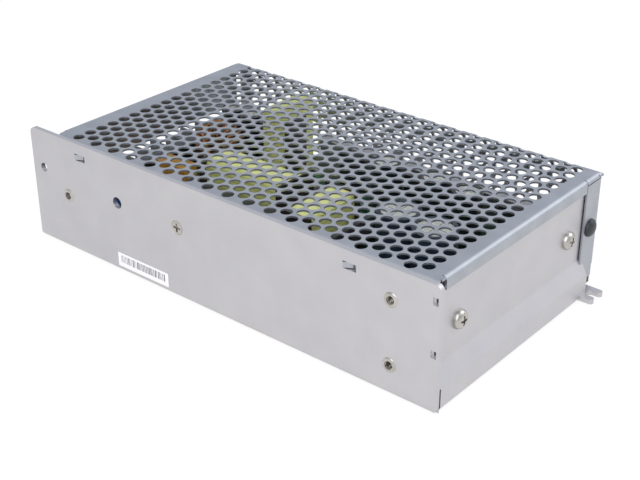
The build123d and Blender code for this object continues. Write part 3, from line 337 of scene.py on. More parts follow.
def solder_mask():
    """Green mask over glass fibre, with paler raised tracks."""
    made = surface("green_solder_mask", ("#1D5A3C", "#2A6B49"), 1.6, 0.32, coat=0.3)
    tree = made.node_tree
    place = add(tree, "ShaderNodeTexCoord").outputs["Object"]
    tracks = add(tree, "ShaderNodeTexBrick", place, linear("#1B5539"), linear("#24634A"), linear("#3E8A5C"),
                 named={"Scale": 1 / (TRACK_GRID * MM), "Mortar Size": 0.1, "Brick Width": 1.7,
                        "Row Height": 0.45})
    shader = tree.nodes["finish"]
    facing = add(tree, "ShaderNodeSeparateXYZ", add(tree, "ShaderNodeNewGeometry").outputs["Normal"])
    facing = add(tree, "ShaderNodeMath", facing.outputs["X"], operation="ABSOLUTE")
    masked = add(tree, "ShaderNodeMath", facing, CUT_EDGE, operation="LESS_THAN")
    tone = add(tree, "ShaderNodeMix", data_type="RGBA", named={
        "Factor_Float": masked, "A_Color": linear("#6F7F50"), "B_Color": tracks.outputs["Color"]})
    tree.links.new(socket_of(tone.outputs, "Result_Color"), shader.inputs["Base Color"])
    relief = add(tree, "ShaderNodeMath", tracks.outputs["Fac"], masked, operation="MULTIPLY")
    bump = add(tree, "ShaderNodeBump", named={"Height": relief, "Distance": TRACK_RELIEF * MM})
    tree.links.new(bump.outputs[0], shader.inputs["Normal"])
    return made


board_green = solder_mask()
print("board", board_green.name)

# %% [markdown]
# ## Label
# A small paper label is stuck low on the long wall. Its bars could be strips of mesh, but ink has no
# thickness, so they are part of the paper's colour: one bar per cell of a fixed pitch, its width from
# one random value for the cell, and all of them stop short of the label's edges.

# %% Label
BAR_PITCH = 0.85
# the least width of a bar as a share of its cell, and how much wider it may be
BAR_LEAST, BAR_SPREAD = 0.25, 0.5
# middle and half length of the field of bars, as shares of the label's sides
BARS_UP = (0.58, 0.27)
BARS_ALONG = (0.5, 0.44)


def barred_label(low, high):
    """White paper with grey bars that stay inside a margin of the label's box."""
    made = surface("coated_label_paper", ("#D9D8DB", "#E2E1E4"), 0.4, 0.5)
    tree = made.node_tree
    shader = tree.nodes["finish"]
    paper = shader.inputs["Base Color"].links[0].from_socket
    place = add(tree, "ShaderNodeSeparateXYZ", add(tree, "ShaderNodeTexCoord").outputs["Object"])
    cell = add(tree, "ShaderNodeMath", place.outputs["X"], BAR_PITCH * MM, operation="DIVIDE")
    number = add(tree, "ShaderNodeMath", cell, operation="FLOOR")
    random = add(tree, "ShaderNodeTexWhiteNoise", named={"W": number.outputs[0]}, noise_dimensions="1D")
    width = add(tree, "ShaderNodeMath", random.outputs["Value"], BAR_SPREAD, BAR_LEAST,
                operation="MULTIPLY_ADD")
    dark = add(tree, "ShaderNodeMath", add(tree, "ShaderNodeMath", cell, operation="FRACT"), width,
               operation="LESS_THAN")
    for axis, start, side, (centre, reach) in (("Z", low.z, high.z - low.z, BARS_UP),
                                               ("X", low.x, high.x - low.x, BARS_ALONG)):
        inside = add(tree, "ShaderNodeMath", place.outputs[axis], start + centre * side, reach * side,
                     operation="COMPARE")
        dark = add(tree, "ShaderNodeMath", dark, inside, operation="MULTIPLY")
    tone = add(tree, "ShaderNodeMix", data_type="RGBA", named={
        "Factor_Float": dark, "A_Color": paper, "B_Color": linear("#595A5F")})
    tree.links.new(socket_of(tone.outputs, "Result_Color"), shader.inputs["Base Color"])
    return made


label_paper = barred_label(*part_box("barcode_label"))
print("label bars", BAR_PITCH, "mm apart")

# %% [markdown]
# ## Plastics, ferrite, tape and wire
# The small parts inside show through the holes and at the open end, and each has its own finish:
# black thermoplastic mouldings with a faint orange peel, grey ferrite that was pressed and ground,
# glossy yellow polyester tape whose layers show as fine bands, enamelled copper wire, dipped epoxy
# and shrink sleeve. The comment beside each says what it gives the eye.

# %% Plastics, ferrite, tape and wire
tape = surface("yellow_polyester_tape", ("#DDE48C", "#E7EC9E"), 2.5, 0.28, coat=0.4)
finishes = {
    "aluminium_sheet": aluminium,
    "zinc_sheet": zinc,
    "nickel_steel": nickel,
    "tinned_brass": tin,
    "can_aluminium": can_metal,
    "green_board": board_green,
    "label_white": label_paper,
    # layers of tape, thin darker lines round the winding
    "yellow_tape": bands(tape, 1.6, ("#CFD77C", "#E6EB9C"), "Z", 0.04),
    # softly shining black of the rivet and the pillars
    "black_nylon": surface("moulded_black_nylon", ("#1E2023", "#292C30"), 0.5, 0.42, relief=0.01),
    # flat deep black sheet under the board
    "black_film": surface("black_polyester_film", ("#17181A", "#212225"), 4.0, 0.3),
    # the darkest large piece at the open end
    "block_black": surface("black_polyester_moulding", ("#1F2023", "#2B2D31"), 0.4, 0.4, relief=0.01),
    # saturated blue dot beside the terminals
    "trimmer_blue": surface("blue_trimmer_moulding", ("#1D3F86", "#254B96"), 0.5, 0.35),
    # light rotor, so the slot reads
    "rotor_cream": surface("cream_rotor_moulding", ("#D9D2BC", "#E4DECB"), 0.5, 0.45),
    # clear green with a wet shine
    "lamp_green": surface("green_lamp_lens", ("#2FA048", "#3DB457"), 0.6, 0.15, coat=0.5),
    # dull slate grey
    "ferrite": surface("ground_ferrite", ("#3A3B3F", "#494A4E"), 0.3, 0.5, relief=0.01),
    # brownish black, barely seen
    "bobbin_black": surface("black_phenolic_bobbin", ("#24211F", "#302D2A"), 0.5, 0.42, relief=0.01),
    # orange glints between the turns
    "copper_wire": surface("enamelled_copper", ("#94602F", "#B57C45"), 0.8, 0.26, 0.7, coat=0.6),
    # dark navy with a thin highlight down each can
    "sleeve_blue": surface("dark_blue_shrink_sleeve", ("#27303F", "#323D50"), 2.0, 0.28, coat=0.3),
    # near black, shinier than the mouldings
    "sleeve_black": surface("black_shrink_sleeve", ("#1C1D22", "#272930"), 2.0, 0.28, coat=0.3),
    # the strong blue seen through the access hole
    "epoxy_blue": surface("blue_dipped_epoxy", ("#2C78D6", "#3A8CEE"), 0.9, 0.3, relief=0.02, coat=0.4),
    # dark green, waxy
    "epoxy_dark": surface("dark_dipped_silicone", ("#2F4030", "#3C4F3D"), 0.9, 0.45, relief=0.03),
    # orange yellow, even
    "film_yellow": surface("yellow_box_moulding", ("#C08A2C", "#CE9A3C"), 0.6, 0.35),
    # pale and glassy
    "fuse_glass": surface("fuse_glass_tube", ("#C9D2CE", "#DCE3E0"), 1.0, 0.08, coat=0.8),
    # matt black of moulded chips
    "package_black": surface("moulded_epoxy_package", ("#222224", "#2E2E31"), 0.3, 0.5, relief=0.01),
    # grey-blue cement lacquer
    "resistor_body": surface("resistor_lacquer", ("#6A94A2", "#7CA4B1"), 0.6, 0.35, relief=0.01),
}
for part in frame["record"]["subparts"]:
    node = nodes[part["node"]]
    node.data.materials.clear()
    node.data.materials.append(finishes[part["material_slot"]])
print("finishes", len(finishes))

# %% [markdown]
# ## Broken edges
# No real edge is perfectly sharp. Sheared sheet has a rolled-over edge, mouldings have a small
# radius, and that thin line catches the light. A narrow bevel on the sharp edges of the CAD pieces
# gives it, for each piece with a width that suits how it's made. Round pieces are many-sided in the
# model, so their shading is smoothed over small angles and stays sharp at real edges.

# %% Broken edges
SOFT_ANGLE = 35
BEVEL_ANGLE = 40
BEVEL_STEPS = 2


def smooth_by_angle(tree, geometry, degrees):
    """Shades a mesh smooth, and keeps edges sharper than an angle."""
    bend_angle = add(tree, "GeometryNodeInputMeshEdgeAngle")
    soft = add(tree, "FunctionNodeCompare", bend_angle, math.radians(degrees), operation="LESS_THAN")
    faces = add(tree, "GeometryNodeSetShadeSmooth", geometry, None, True, domain="FACE")
    return add(tree, "GeometryNodeSetShadeSmooth", faces, None, soft, domain="EDGE")


EDGE_WIDTHS = {
    "chassis": 0.12,
    "barcode_label": 0.03,
    "terminal_block": 0.2,
    "main_transformer_core": 0.3,
    "drive_transformer_core": 0.3,
    "main_transformer_winding": 0.5,
    "drive_transformer_winding": 0.5,
    "edge_choke_coil": 0.5,
    "film_capacitor": 0.4,
    "bridge_rectifier": 0.2,
    "optocouplers": 0.15,
    "voltage_trimmer": 0.15,
    "output_heatsink": 0.1,
}
for name, width in EDGE_WIDTHS.items():
    bevel = nodes[name].modifiers.new("Broken edges", "BEVEL")
    bevel.width = width * MM
    bevel.segments = BEVEL_STEPS
    bevel.limit_method = "ANGLE"
    bevel.angle_limit = math.radians(BEVEL_ANGLE)

soft_tree, soft_given = new_tree("Soft shading")
add(soft_tree, "NodeGroupOutput", smooth_by_angle(soft_tree, soft_given["Geometry"], SOFT_ANGLE))
for part in frame["record"]["subparts"]:
    nodes[part["node"]].modifiers.new("Soft shading", "NODES").node_group = soft_tree

# %% [markdown]
# ## The perforated cover
# The real cover is punched while it is flat and folded afterwards, and this is done the same way
# here. A flat blank with its wings is cut from a grid that has extra lines only where it will bend.
# Geometry Nodes lay a staggered lattice of round punches over it, cut them out with one boolean,
# and fold the wings with a formula: a point past a fold line turns about it by an arc, then goes
# straight on. Holes that lie on the far fold are bent with it, as on the real cover.

# %% Flat blank of the cover
SHEET = 0.7 * MM
BEND = 1.8 * MM
BEND_STEPS = 6
HOLE_DIAMETER = 4.7 * MM
HOLE_PITCH = (5.118 * MM, 6.02 * MM)
HOLE_COLUMNS = 34
HOLE_ROWS = 23
HOLE_SIDES = 20
# the middle of the first hole, from the left and near sides of the cover
FIRST_HOLE = (10.8 * MM, 3.4 * MM)
# from the long wall's face back to the cover
NEAR_GAP = 2.1 * MM
# how far each flange reaches from the outside of the sheet that it hangs on
NEAR_FLANGE = 8.0 * MM
LEFT_FLANGE = 20.0 * MM
END_FLANGE = 5.0 * MM
FAR_FLANGE = 11.4 * MM
# where the left flange and the end flange start, from the long wall's face
FLANGES_IN = 6.6 * MM
# the far end flange's lower part: how far it passes the far wall's edge, and its width
FLANGE_DROP = 5.0 * MM
FLANGE_DROP_WIDTH = 7.1 * MM
# how far before the end fold the near flange stops, and how far in from the end its corner stays
CORNER_SHORT = 1.7 * MM
CORNER_IN = 0.5 * MM
# the gap that is cut between two wings
CUT = 0.4 * MM
COVER_SOFT_ANGLE = 30
cover_low, cover_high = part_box("perforated_cover")
case_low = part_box("chassis")[0]
EAR_EDGE = case_low.x
NEAR_FACE = case_low.y
COVER_NEAR = NEAR_FACE + NEAR_GAP
COVER_LEFT = cover_low.x
COVER_RIGHT = cover_high.x
COVER_FAR = cover_high.y
COVER_TOP = cover_high.z
arc = BEND * math.pi / 2
near_line = COVER_NEAR + BEND
far_line = COVER_FAR - BEND
left_line = COVER_LEFT + BEND
right_line = COVER_RIGHT - BEND
WALL_START = far_line + arc
near_end = near_line - arc - (NEAR_FLANGE - BEND)
wall_end = WALL_START + (COVER_TOP - cover_low.z - BEND)
left_end = left_line - arc - (LEFT_FLANGE - BEND)
END_FLANGE_OUT = right_line + arc + (END_FLANGE - BEND)
FAR_FLANGE_OUT = right_line + arc + (FAR_FLANGE - BEND)
FLANGE_FROM = NEAR_FACE + FLANGES_IN
FAR_FLANGE_EDGE = COVER_FAR - FAR_FLANGE
blank_areas = (
    # the top and the far wall, then the near flange and its corner
    (left_line, right_line, near_line, wall_end),
    (left_line, right_line - CORNER_SHORT, near_end, near_line),
    (right_line - CORNER_SHORT, COVER_RIGHT - CORNER_IN, near_line - arc, near_line),
    # the left flange and the end flange
    (left_end, left_line, FLANGE_FROM, far_line - CUT),
    (right_line, END_FLANGE_OUT, FLANGE_FROM, FAR_FLANGE_EDGE - CUT),
    # what fills the corners of the end
    (right_line, right_line + arc, FAR_FLANGE_EDGE, far_line),
    (right_line, COVER_RIGHT, far_line, WALL_START),
    (right_line, COVER_RIGHT, near_line, FLANGE_FROM - CUT),
    # the far wall's own end flange and the part of it that reaches lower
    (right_line, FAR_FLANGE_OUT, WALL_START + CUT, wall_end),
    (right_line + arc, right_line + arc + FLANGE_DROP_WIDTH, wall_end, wall_end + FLANGE_DROP),
)
# grid lines nearer to each other than this are one line
SAME_LINE = 1e-6


def lines_across(edges, folds):
    """Grid lines at the edges and at even steps through each fold."""
    lines = set(edges)
    for line, way in folds:
        lines.update(line + way * arc * i / BEND_STEPS for i in range(BEND_STEPS + 1))
    ordered = sorted(lines)
    return [a for a, b in zip(ordered, ordered[1:] + [ordered[-1] + 1]) if b - a > SAME_LINE]


def flat_blank():
    """The cover's flat blank as a closed solid, outer face at zero, sheet below it."""
    xs = lines_across([v for area in blank_areas for v in area[:2]], ((left_line, -1), (right_line, 1)))
    ys = lines_across([v for area in blank_areas for v in area[2:]], ((near_line, -1), (far_line, 1)))
    shape = bmesh.new()
    corners = {}
    for x0, x1 in zip(xs, xs[1:]):
        for y0, y1 in zip(ys, ys[1:]):
            x, y = (x0 + x1) / 2, (y0 + y1) / 2
            if any(a <= x <= b and c <= y <= d for a, b, c, d in blank_areas):
                ring = [(x0, y0), (x1, y0), (x1, y1), (x0, y1)]
                for corner in ring:
                    if corner not in corners:
                        corners[corner] = shape.verts.new((*corner, 0))
                shape.faces.new([corners[corner] for corner in ring])
    under = bmesh.ops.extrude_face_region(shape, geom=list(shape.faces))
    moved = [item for item in under["geom"] if isinstance(item, bmesh.types.BMVert)]
    bmesh.ops.translate(shape, verts=moved, vec=(0, 0, -SHEET))
    bmesh.ops.recalc_face_normals(shape, faces=list(shape.faces))
    mesh = bpy.data.meshes.new("cover_blank")
    shape.to_mesh(mesh)
    shape.free()
    return mesh


blank = flat_blank()
print("blank", len(blank.polygons), "faces, from", round(left_end / MM, 1),
      "to", round(FAR_FLANGE_OUT / MM, 1))

# %% Fold formula as a node group
def fold_group():
    """Folds what lies past a line, the given way, through a right angle, between From and To along it."""
    tree, given = new_tree("Fold", Way=(1.0, 0.0, 0.0), Line=0.0, Radius=BEND, From=-1.0, To=1.0)
    spot = add(tree, "GeometryNodeInputPosition")
    along = add(tree, "ShaderNodeVectorMath", spot, given["Way"], operation="DOT_PRODUCT").outputs["Value"]
    sideways = add(tree, "ShaderNodeVectorMath", (0, 0, 1), given["Way"], operation="CROSS_PRODUCT")
    side = add(tree, "ShaderNodeVectorMath", spot, sideways, operation="DOT_PRODUCT").outputs["Value"]
    height = add(tree, "ShaderNodeSeparateXYZ", spot).outputs["Z"]
    past = add(tree, "ShaderNodeMath", along, given["Line"], operation="SUBTRACT")
    past = add(tree, "ShaderNodeMath", past, 0.0, operation="MAXIMUM")
    angle = add(tree, "ShaderNodeMath", past, given["Radius"], operation="DIVIDE")
    angle = add(tree, "ShaderNodeMath", angle, math.pi / 2, operation="MINIMUM")
    bent = add(tree, "ShaderNodeMath", angle, given["Radius"], operation="MULTIPLY")
    straight = add(tree, "ShaderNodeMath", past, bent, operation="SUBTRACT")
    reach = add(tree, "ShaderNodeMath", height, given["Radius"], operation="ADD")
    sine = add(tree, "ShaderNodeMath", angle, operation="SINE")
    cosine = add(tree, "ShaderNodeMath", angle, operation="COSINE")
    out = add(tree, "ShaderNodeMath", reach, sine, operation="MULTIPLY")
    out = add(tree, "ShaderNodeMath", out, past, operation="SUBTRACT")
    rise = add(tree, "ShaderNodeMath", reach, cosine, operation="MULTIPLY")
    rise = add(tree, "ShaderNodeMath", rise, reach, operation="SUBTRACT")
    rise = add(tree, "ShaderNodeMath", rise, straight, operation="SUBTRACT")
    shift = add(tree, "ShaderNodeVectorMath", given["Way"], named={"Scale": out}, operation="SCALE")
    lift = add(tree, "ShaderNodeCombineXYZ", 0.0, 0.0, rise)
    shift = add(tree, "ShaderNodeVectorMath", shift, lift, operation="ADD")
    low = add(tree, "FunctionNodeCompare", side, given["From"], operation="GREATER_THAN")
    high = add(tree, "FunctionNodeCompare", side, given["To"], operation="LESS_THAN")
    chosen = add(tree, "FunctionNodeBooleanMath", low, high, operation="AND")
    folded = add(tree, "GeometryNodeSetPosition", given["Geometry"], chosen, None, shift)
    add(tree, "NodeGroupOutput", folded)
    return tree


fold = fold_group()
print("fold group with", len(fold.nodes), "nodes")

# %% Punching and folding the cover
def cover_tree():
    """Punches the staggered holes in the flat blank, folds its wings and lifts it to its height."""
    tree, given = new_tree(
        "Perforated cover", Columns=HOLE_COLUMNS, Rows=HOLE_ROWS, PitchX=HOLE_PITCH[0],
        PitchY=HOLE_PITCH[1], Hole=HOLE_DIAMETER, Top=COVER_TOP,
        First=(COVER_LEFT + FIRST_HOLE[0], COVER_NEAR + FIRST_HOLE[1], 0.0))
    count = add(tree, "ShaderNodeMath", given["Columns"], given["Rows"], operation="MULTIPLY")
    spots = add(tree, "GeometryNodePoints", count)
    index = add(tree, "GeometryNodeInputIndex")
    column = add(tree, "ShaderNodeMath", index, given["Columns"], operation="FLOORED_MODULO")
    row = add(tree, "ShaderNodeMath", index, given["Columns"], operation="DIVIDE")
    row = add(tree, "ShaderNodeMath", row, operation="FLOOR")
    odd = add(tree, "ShaderNodeMath", column, 2.0, operation="FLOORED_MODULO")
    row = add(tree, "ShaderNodeMath", odd, 0.5, row, operation="MULTIPLY_ADD")
    x = add(tree, "ShaderNodeMath", column, given["PitchX"], operation="MULTIPLY")
    y = add(tree, "ShaderNodeMath", row, given["PitchY"], operation="MULTIPLY")
    place = add(tree, "ShaderNodeVectorMath", add(tree, "ShaderNodeCombineXYZ", x, y), given["First"],
                operation="ADD")
    spots = add(tree, "GeometryNodeSetPosition", spots, None, place)
    radius = add(tree, "ShaderNodeMath", given["Hole"], 0.5, operation="MULTIPLY")
    punch = add(tree, "GeometryNodeMeshCylinder", named={
        "Vertices": HOLE_SIDES, "Radius": radius, "Depth": 3 * SHEET})
    punches = add(tree, "GeometryNodeInstanceOnPoints", spots, None, punch)
    punches = add(tree, "GeometryNodeRealizeInstances", punches)
    sheet = add(tree, "GeometryNodeMeshBoolean", given["Geometry"], punches,
                operation="DIFFERENCE", solver="MANIFOLD")
    folds = (
        {"Way": (-1, 0, 0), "Line": -left_line},
        {"Way": (1, 0, 0), "Line": right_line, "From": FLANGE_FROM - CUT / 2, "To": far_line - CUT / 2},
        {"Way": (1, 0, 0), "Line": right_line, "From": WALL_START + CUT / 2, "To": 1.0},
        {"Way": (0, -1, 0), "Line": -near_line},
        {"Way": (0, 1, 0), "Line": far_line},
    )
    for values in folds:
        folded = add(tree, "GeometryNodeGroup", node_tree=fold)
        tree.links.new(sheet.outputs[0], folded.inputs["Geometry"])
        for key, value in values.items():
            folded.inputs[key].default_value = value
        sheet = folded
    lift = add(tree, "ShaderNodeCombineXYZ", 0.0, 0.0, given["Top"])
    sheet = add(tree, "GeometryNodeSetPosition", sheet, None, None, lift)
    close_tree(tree, smooth_by_angle(tree, sheet, COVER_SOFT_ANGLE), zinc)
    return tree


cover = grow("perforated_cover_punched", cover_tree(), blank)
keep(cover, "zinc_sheet", "perforated_cover")
print("cover size", [round(v / MM, 2) for v in cover.dimensions])

# %% [markdown]
# ## Pieces of a node
# Several nodes hold a number of equal pieces, such as nine screws. Their places are read from the CAD
# pieces themselves, one box for each separate piece, so the dressed parts stay where the model has them.

# %% Pieces of a node
SAME_POINT = 0.002 * MM


def piece_boxes(name):
    """Lowest and highest corner of each separate piece of a node."""
    shape = bmesh.new()
    shape.from_mesh(nodes[name].data)
    shape.transform(nodes[name].matrix_world)
    bmesh.ops.remove_doubles(shape, verts=list(shape.verts), dist=SAME_POINT)
    left = set(shape.verts)
    boxes = []
    while left:
        reached = [left.pop()]
        for vert in reached:
            for edge in vert.link_edges:
                other = edge.other_vert(vert)
                if other in left:
                    left.remove(other)
                    reached.append(other)
        spots = [vert.co for vert in reached]
        low = Vector([min(spot[i] for spot in spots) for i in range(3)])
        boxes.append((low, Vector([max(spot[i] for spot in spots) for i in range(3)])))
    shape.free()
    return sorted(boxes, key=lambda box: tuple(box[0]))


def points_mesh(name, places):
    """A mesh of bare points."""
    mesh = bpy.data.meshes.new(name)
    mesh.from_pydata([tuple(place) for place in places], [], [])
    return mesh


print("terminal screws", len(piece_boxes("terminal_screws")))

# %% [markdown]
# ## Screws
# A pan head is a low dome with a cross pressed into it. Here the dome is a disc whose rings of points
# are lifted along a quarter ellipse, the cross is cut by a boolean, and one instance stands on each
# place with its own random turn, as screws are never tightened to the same angle. The shank is a
# plain cylinder below the head. The seed keeps the turns the same at each run. The bushes below are
# made of the same shapes, so the cylinder and the raised disc have functions.

# %% Screws
DOME_RINGS = 6
DOME_SIDES = 32
SHANK_SIDES = 20
# the upright rim of a head as a share of its height, and a bar of its cross as a share of its width
HEAD_RIM = 0.32
CROSS_WIDTH = 0.12
SCREW_SOFT_ANGLE = 38
SCREW_SEED = 7


def pin(tree, sides, radius, length, middle):
    """An upright cylinder whose middle stands at a height."""
    body = add(tree, "GeometryNodeMeshCylinder", named={"Vertices": sides, "Radius": radius, "Depth": length})
    return add(tree, "GeometryNodeTransform", body, named={
        "Translation": add(tree, "ShaderNodeCombineXYZ", 0.0, 0.0, middle)})


def outwards(tree, radius):
    """The place of a disc's point, and its distance from the axis as a share of the radius."""
    spot = add(tree, "ShaderNodeSeparateXYZ", add(tree, "GeometryNodeInputPosition"))
    flat = add(tree, "ShaderNodeCombineXYZ", spot.outputs["X"], spot.outputs["Y"], 0.0)
    far = add(tree, "ShaderNodeVectorMath", flat, operation="LENGTH").outputs["Value"]
    return spot, add(tree, "ShaderNodeMath", far, radius, operation="DIVIDE")


def raised_disc(tree, disc, spot, side, flat_height, height):
    """A disc with one face, above or below zero, at a height that varies, and the other face flat."""
    chosen = add(tree, "FunctionNodeCompare", spot.outputs["Z"], 0.0, operation=side)
    height = add(tree, "GeometryNodeSwitch", chosen, flat_height, height, input_type="FLOAT")
    return add(tree, "GeometryNodeSetPosition", disc, None, add(
        tree, "ShaderNodeCombineXYZ", spot.outputs["X"], spot.outputs["Y"], height))


def screw_tree(material):
    """Screws on points: a domed head and a shank, turned to their axis and at random about it."""
    tree, given = new_tree("Pan head screws", Head=7.0, Tall=2.4, Shank=4.0, Length=6.0,
                           Axis=(0.0, 0.0, 0.0), Seed=SCREW_SEED, Scale=MM)
    radius = add(tree, "ShaderNodeMath", given["Head"], 0.5, operation="MULTIPLY")
    disc = add(tree, "GeometryNodeMeshCylinder", named={"Vertices": DOME_SIDES, "Fill Segments": DOME_RINGS,
                                                        "Radius": radius, "Depth": 1.0})
    spot, share = outwards(tree, radius)
    drop = add(tree, "ShaderNodeMath", share, share, operation="MULTIPLY")
    rise = add(tree, "ShaderNodeMath", 1.0, drop, operation="SUBTRACT")
    rise = add(tree, "ShaderNodeMath", add(tree, "ShaderNodeMath", rise, 0.0, operation="MAXIMUM"),
               operation="SQRT")
    rise = add(tree, "ShaderNodeMath", rise, 1 - HEAD_RIM, HEAD_RIM, operation="MULTIPLY_ADD")
    rise = add(tree, "ShaderNodeMath", rise, given["Tall"], operation="MULTIPLY")
    dome = raised_disc(tree, disc, spot, "GREATER_THAN", 0.0, rise)
    width = add(tree, "ShaderNodeMath", given["Head"], CROSS_WIDTH, operation="MULTIPLY")
    head = add(tree, "GeometryNodeMeshBoolean", dome, operation="DIFFERENCE", solver="MANIFOLD")
    for sides in ((radius, width), (width, radius)):
        bar = add(tree, "GeometryNodeMeshCube", add(tree, "ShaderNodeCombineXYZ", *sides, given["Tall"]))
        lift = add(tree, "ShaderNodeCombineXYZ", 0.0, 0.0, given["Tall"])
        bar = add(tree, "GeometryNodeTransform", bar, named={"Translation": lift})
        tree.links.new(bar.outputs[0], head.inputs["Mesh 2"])
    half = add(tree, "ShaderNodeMath", given["Length"], -0.5, operation="MULTIPLY")
    shank_radius = add(tree, "ShaderNodeMath", given["Shank"], 0.5, operation="MULTIPLY")
    shank = pin(tree, SHANK_SIDES, shank_radius, given["Length"], half)
    whole = add(tree, "GeometryNodeJoinGeometry", head)
    tree.links.new(shank.outputs[0], whole.inputs[0])
    whole = add(tree, "GeometryNodeTransform", whole, named={"Scale": given["Scale"]})
    spin = add(tree, "FunctionNodeRandomValue", data_type="FLOAT", named={
        "Seed": given["Seed"], "Max_001": math.tau})
    spin = add(tree, "FunctionNodeAxisAngleToRotation", (0.0, 0.0, 1.0), socket_of(spin.outputs, "Value_001"))
    aim = add(tree, "FunctionNodeEulerToRotation", given["Axis"])
    aim = add(tree, "FunctionNodeRotateRotation", aim, spin, rotation_space="LOCAL")
    placed = add(tree, "GeometryNodeInstanceOnPoints", given["Geometry"], named={
        "Instance": whole, "Rotation": aim})
    placed = add(tree, "GeometryNodeRealizeInstances", placed)
    close_tree(tree, smooth_by_angle(tree, placed, SCREW_SOFT_ANGLE), material)
    return tree


SCREWS = (
    # node, head height, head across, shank, axis that it points along
    ("end_screws", 2.4, 7.2, 4.0, "x"),
    ("terminal_screws", 2.2, 6.4, 3.5, "z"),
    ("board_screws", 2.1, 5.6, 3.0, "z"),
)
TURNS_TO = {"x": (0.0, math.pi / 2, 0.0), "z": (0.0, 0.0, 0.0)}
pan_heads = screw_tree(nickel)
for name, tall, across, shank, axis in SCREWS:
    seats = []
    for low, high in piece_boxes(name):
        seat = (low + high) / 2
        setattr(seat, axis, getattr(high, axis) - tall * MM)
        length = (getattr(seat, axis) - getattr(low, axis)) / MM
        seats.append(seat)
    screws = grow(name + "_domed", pan_heads, points_mesh(name + "_seats", seats), Head=across,
                  Tall=tall, Shank=shank, Length=length, Axis=TURNS_TO[axis])
    keep(screws, "nickel_steel", name)

# %% [markdown]
# ## Snap rivet
# A snap rivet is one nylon moulding: a domed head, a shank through both sheets, and a tip that is a
# little thicker and snaps out behind them. It is round all over, so its profile from tip to crown is
# spun about its axis, and a quarter of an ellipse gives the head its even dome.

# %% Snap rivet
RIVET_HEAD = (7.2, 2.2)
RIVET_SHANK = 3.8
RIVET_TIP = 3.2
# the tip is this much slimmer than the shank at its end and this much thicker behind the sheets
RIVET_TIP_IN = 0.6
RIVET_BARB = 0.35
CROWN_RIM = 0.35
CROWN_STEPS = 9
ROUND_STEPS = 48
SAME_SPOT = 0.01
RIVET_SOFT_ANGLE = 40


def spun(name, profile, centre, material):
    """A closed round piece from points (radius, distance along X), turned about X."""
    shape = bmesh.new()
    points = [shape.verts.new((along, radius, 0.0)) for radius, along in profile]
    lines = [shape.edges.new(pair) for pair in zip(points, points[1:])]
    bmesh.ops.spin(shape, geom=points + lines, cent=(0.0, 0.0, 0.0), axis=(1.0, 0.0, 0.0),
                   angle=math.tau, steps=ROUND_STEPS, use_merge=True)
    bmesh.ops.remove_doubles(shape, verts=shape.verts, dist=SAME_SPOT)
    bmesh.ops.recalc_face_normals(shape, faces=shape.faces)
    bmesh.ops.scale(shape, vec=(MM, MM, MM), verts=shape.verts)
    bmesh.ops.translate(shape, vec=centre, verts=shape.verts)
    mesh = bpy.data.meshes.new(name)
    shape.to_mesh(mesh)
    shape.free()
    mesh.materials.append(material)
    mesh.shade_smooth()
    mesh.set_sharp_from_angle(angle=math.radians(RIVET_SOFT_ANGLE))
    return put(name, mesh)


rivet_low, rivet_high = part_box("snap_rivet")
crown = RIVET_HEAD[1]
grip = (rivet_high.x - rivet_low.x) / MM - RIVET_TIP - crown
shank, head = RIVET_SHANK / 2, RIVET_HEAD[0] / 2
rivet_profile = [(0.0, -grip - RIVET_TIP), (shank - RIVET_TIP_IN, -grip - RIVET_TIP),
                 (shank + RIVET_BARB, -grip), (shank, -grip), (shank, 0.0), (head, 0.0)]
for step in range(CROWN_STEPS + 1):
    angle = math.pi / 2 * step / CROWN_STEPS
    rivet_profile.append((head * math.cos(angle), CROWN_RIM + (crown - CROWN_RIM) * math.sin(angle)))
rivet_centre = (rivet_low + rivet_high) / 2
rivet_centre.x = rivet_high.x - crown * MM
keep(spun("flange_rivet_domed", rivet_profile, rivet_centre, finishes["black_nylon"]),
     "black_nylon", "snap_rivet")

# %% [markdown]
# ## Clinched bushes
# A clinched bush is a small turned part: a round neck pressed through the sheet, a hexagonal body on
# the inner face and, on the long wall, a rolled rim outside. The rim is a disc whose rings of points
# are lifted along a steep curve, and one boolean bores the whole. A real thread is a helix, but rings
# one pitch apart look the same at this size, so thin rings stand in each bore.

# %% Clinched bushes
# diameter and height of each part of a bush, in millimetres
NECK = (5.3, 2.0)
BUSH_BODY = (8.1, 1.4)
RIM = (5.8, 0.45)
BORE = 3.3
THREAD_PITCH = 0.7
CREST_WIRE = 0.17
CREST_SIDES = 5
CREST_STEPS = 24
BUSH_SIDES = 36
HEXAGON = 6
RIM_RINGS = 8
RIM_SHEET = 0.1
RIM_STEEPNESS = 6.0
# a little over 1, so that the rim still stands proud at its edge
RIM_RISE = 1.04
LONG_BORE = 20.0
# under the base the rim is as good as flat
FLUSH_RIM = (NECK[0] - 0.1, 0.0001)


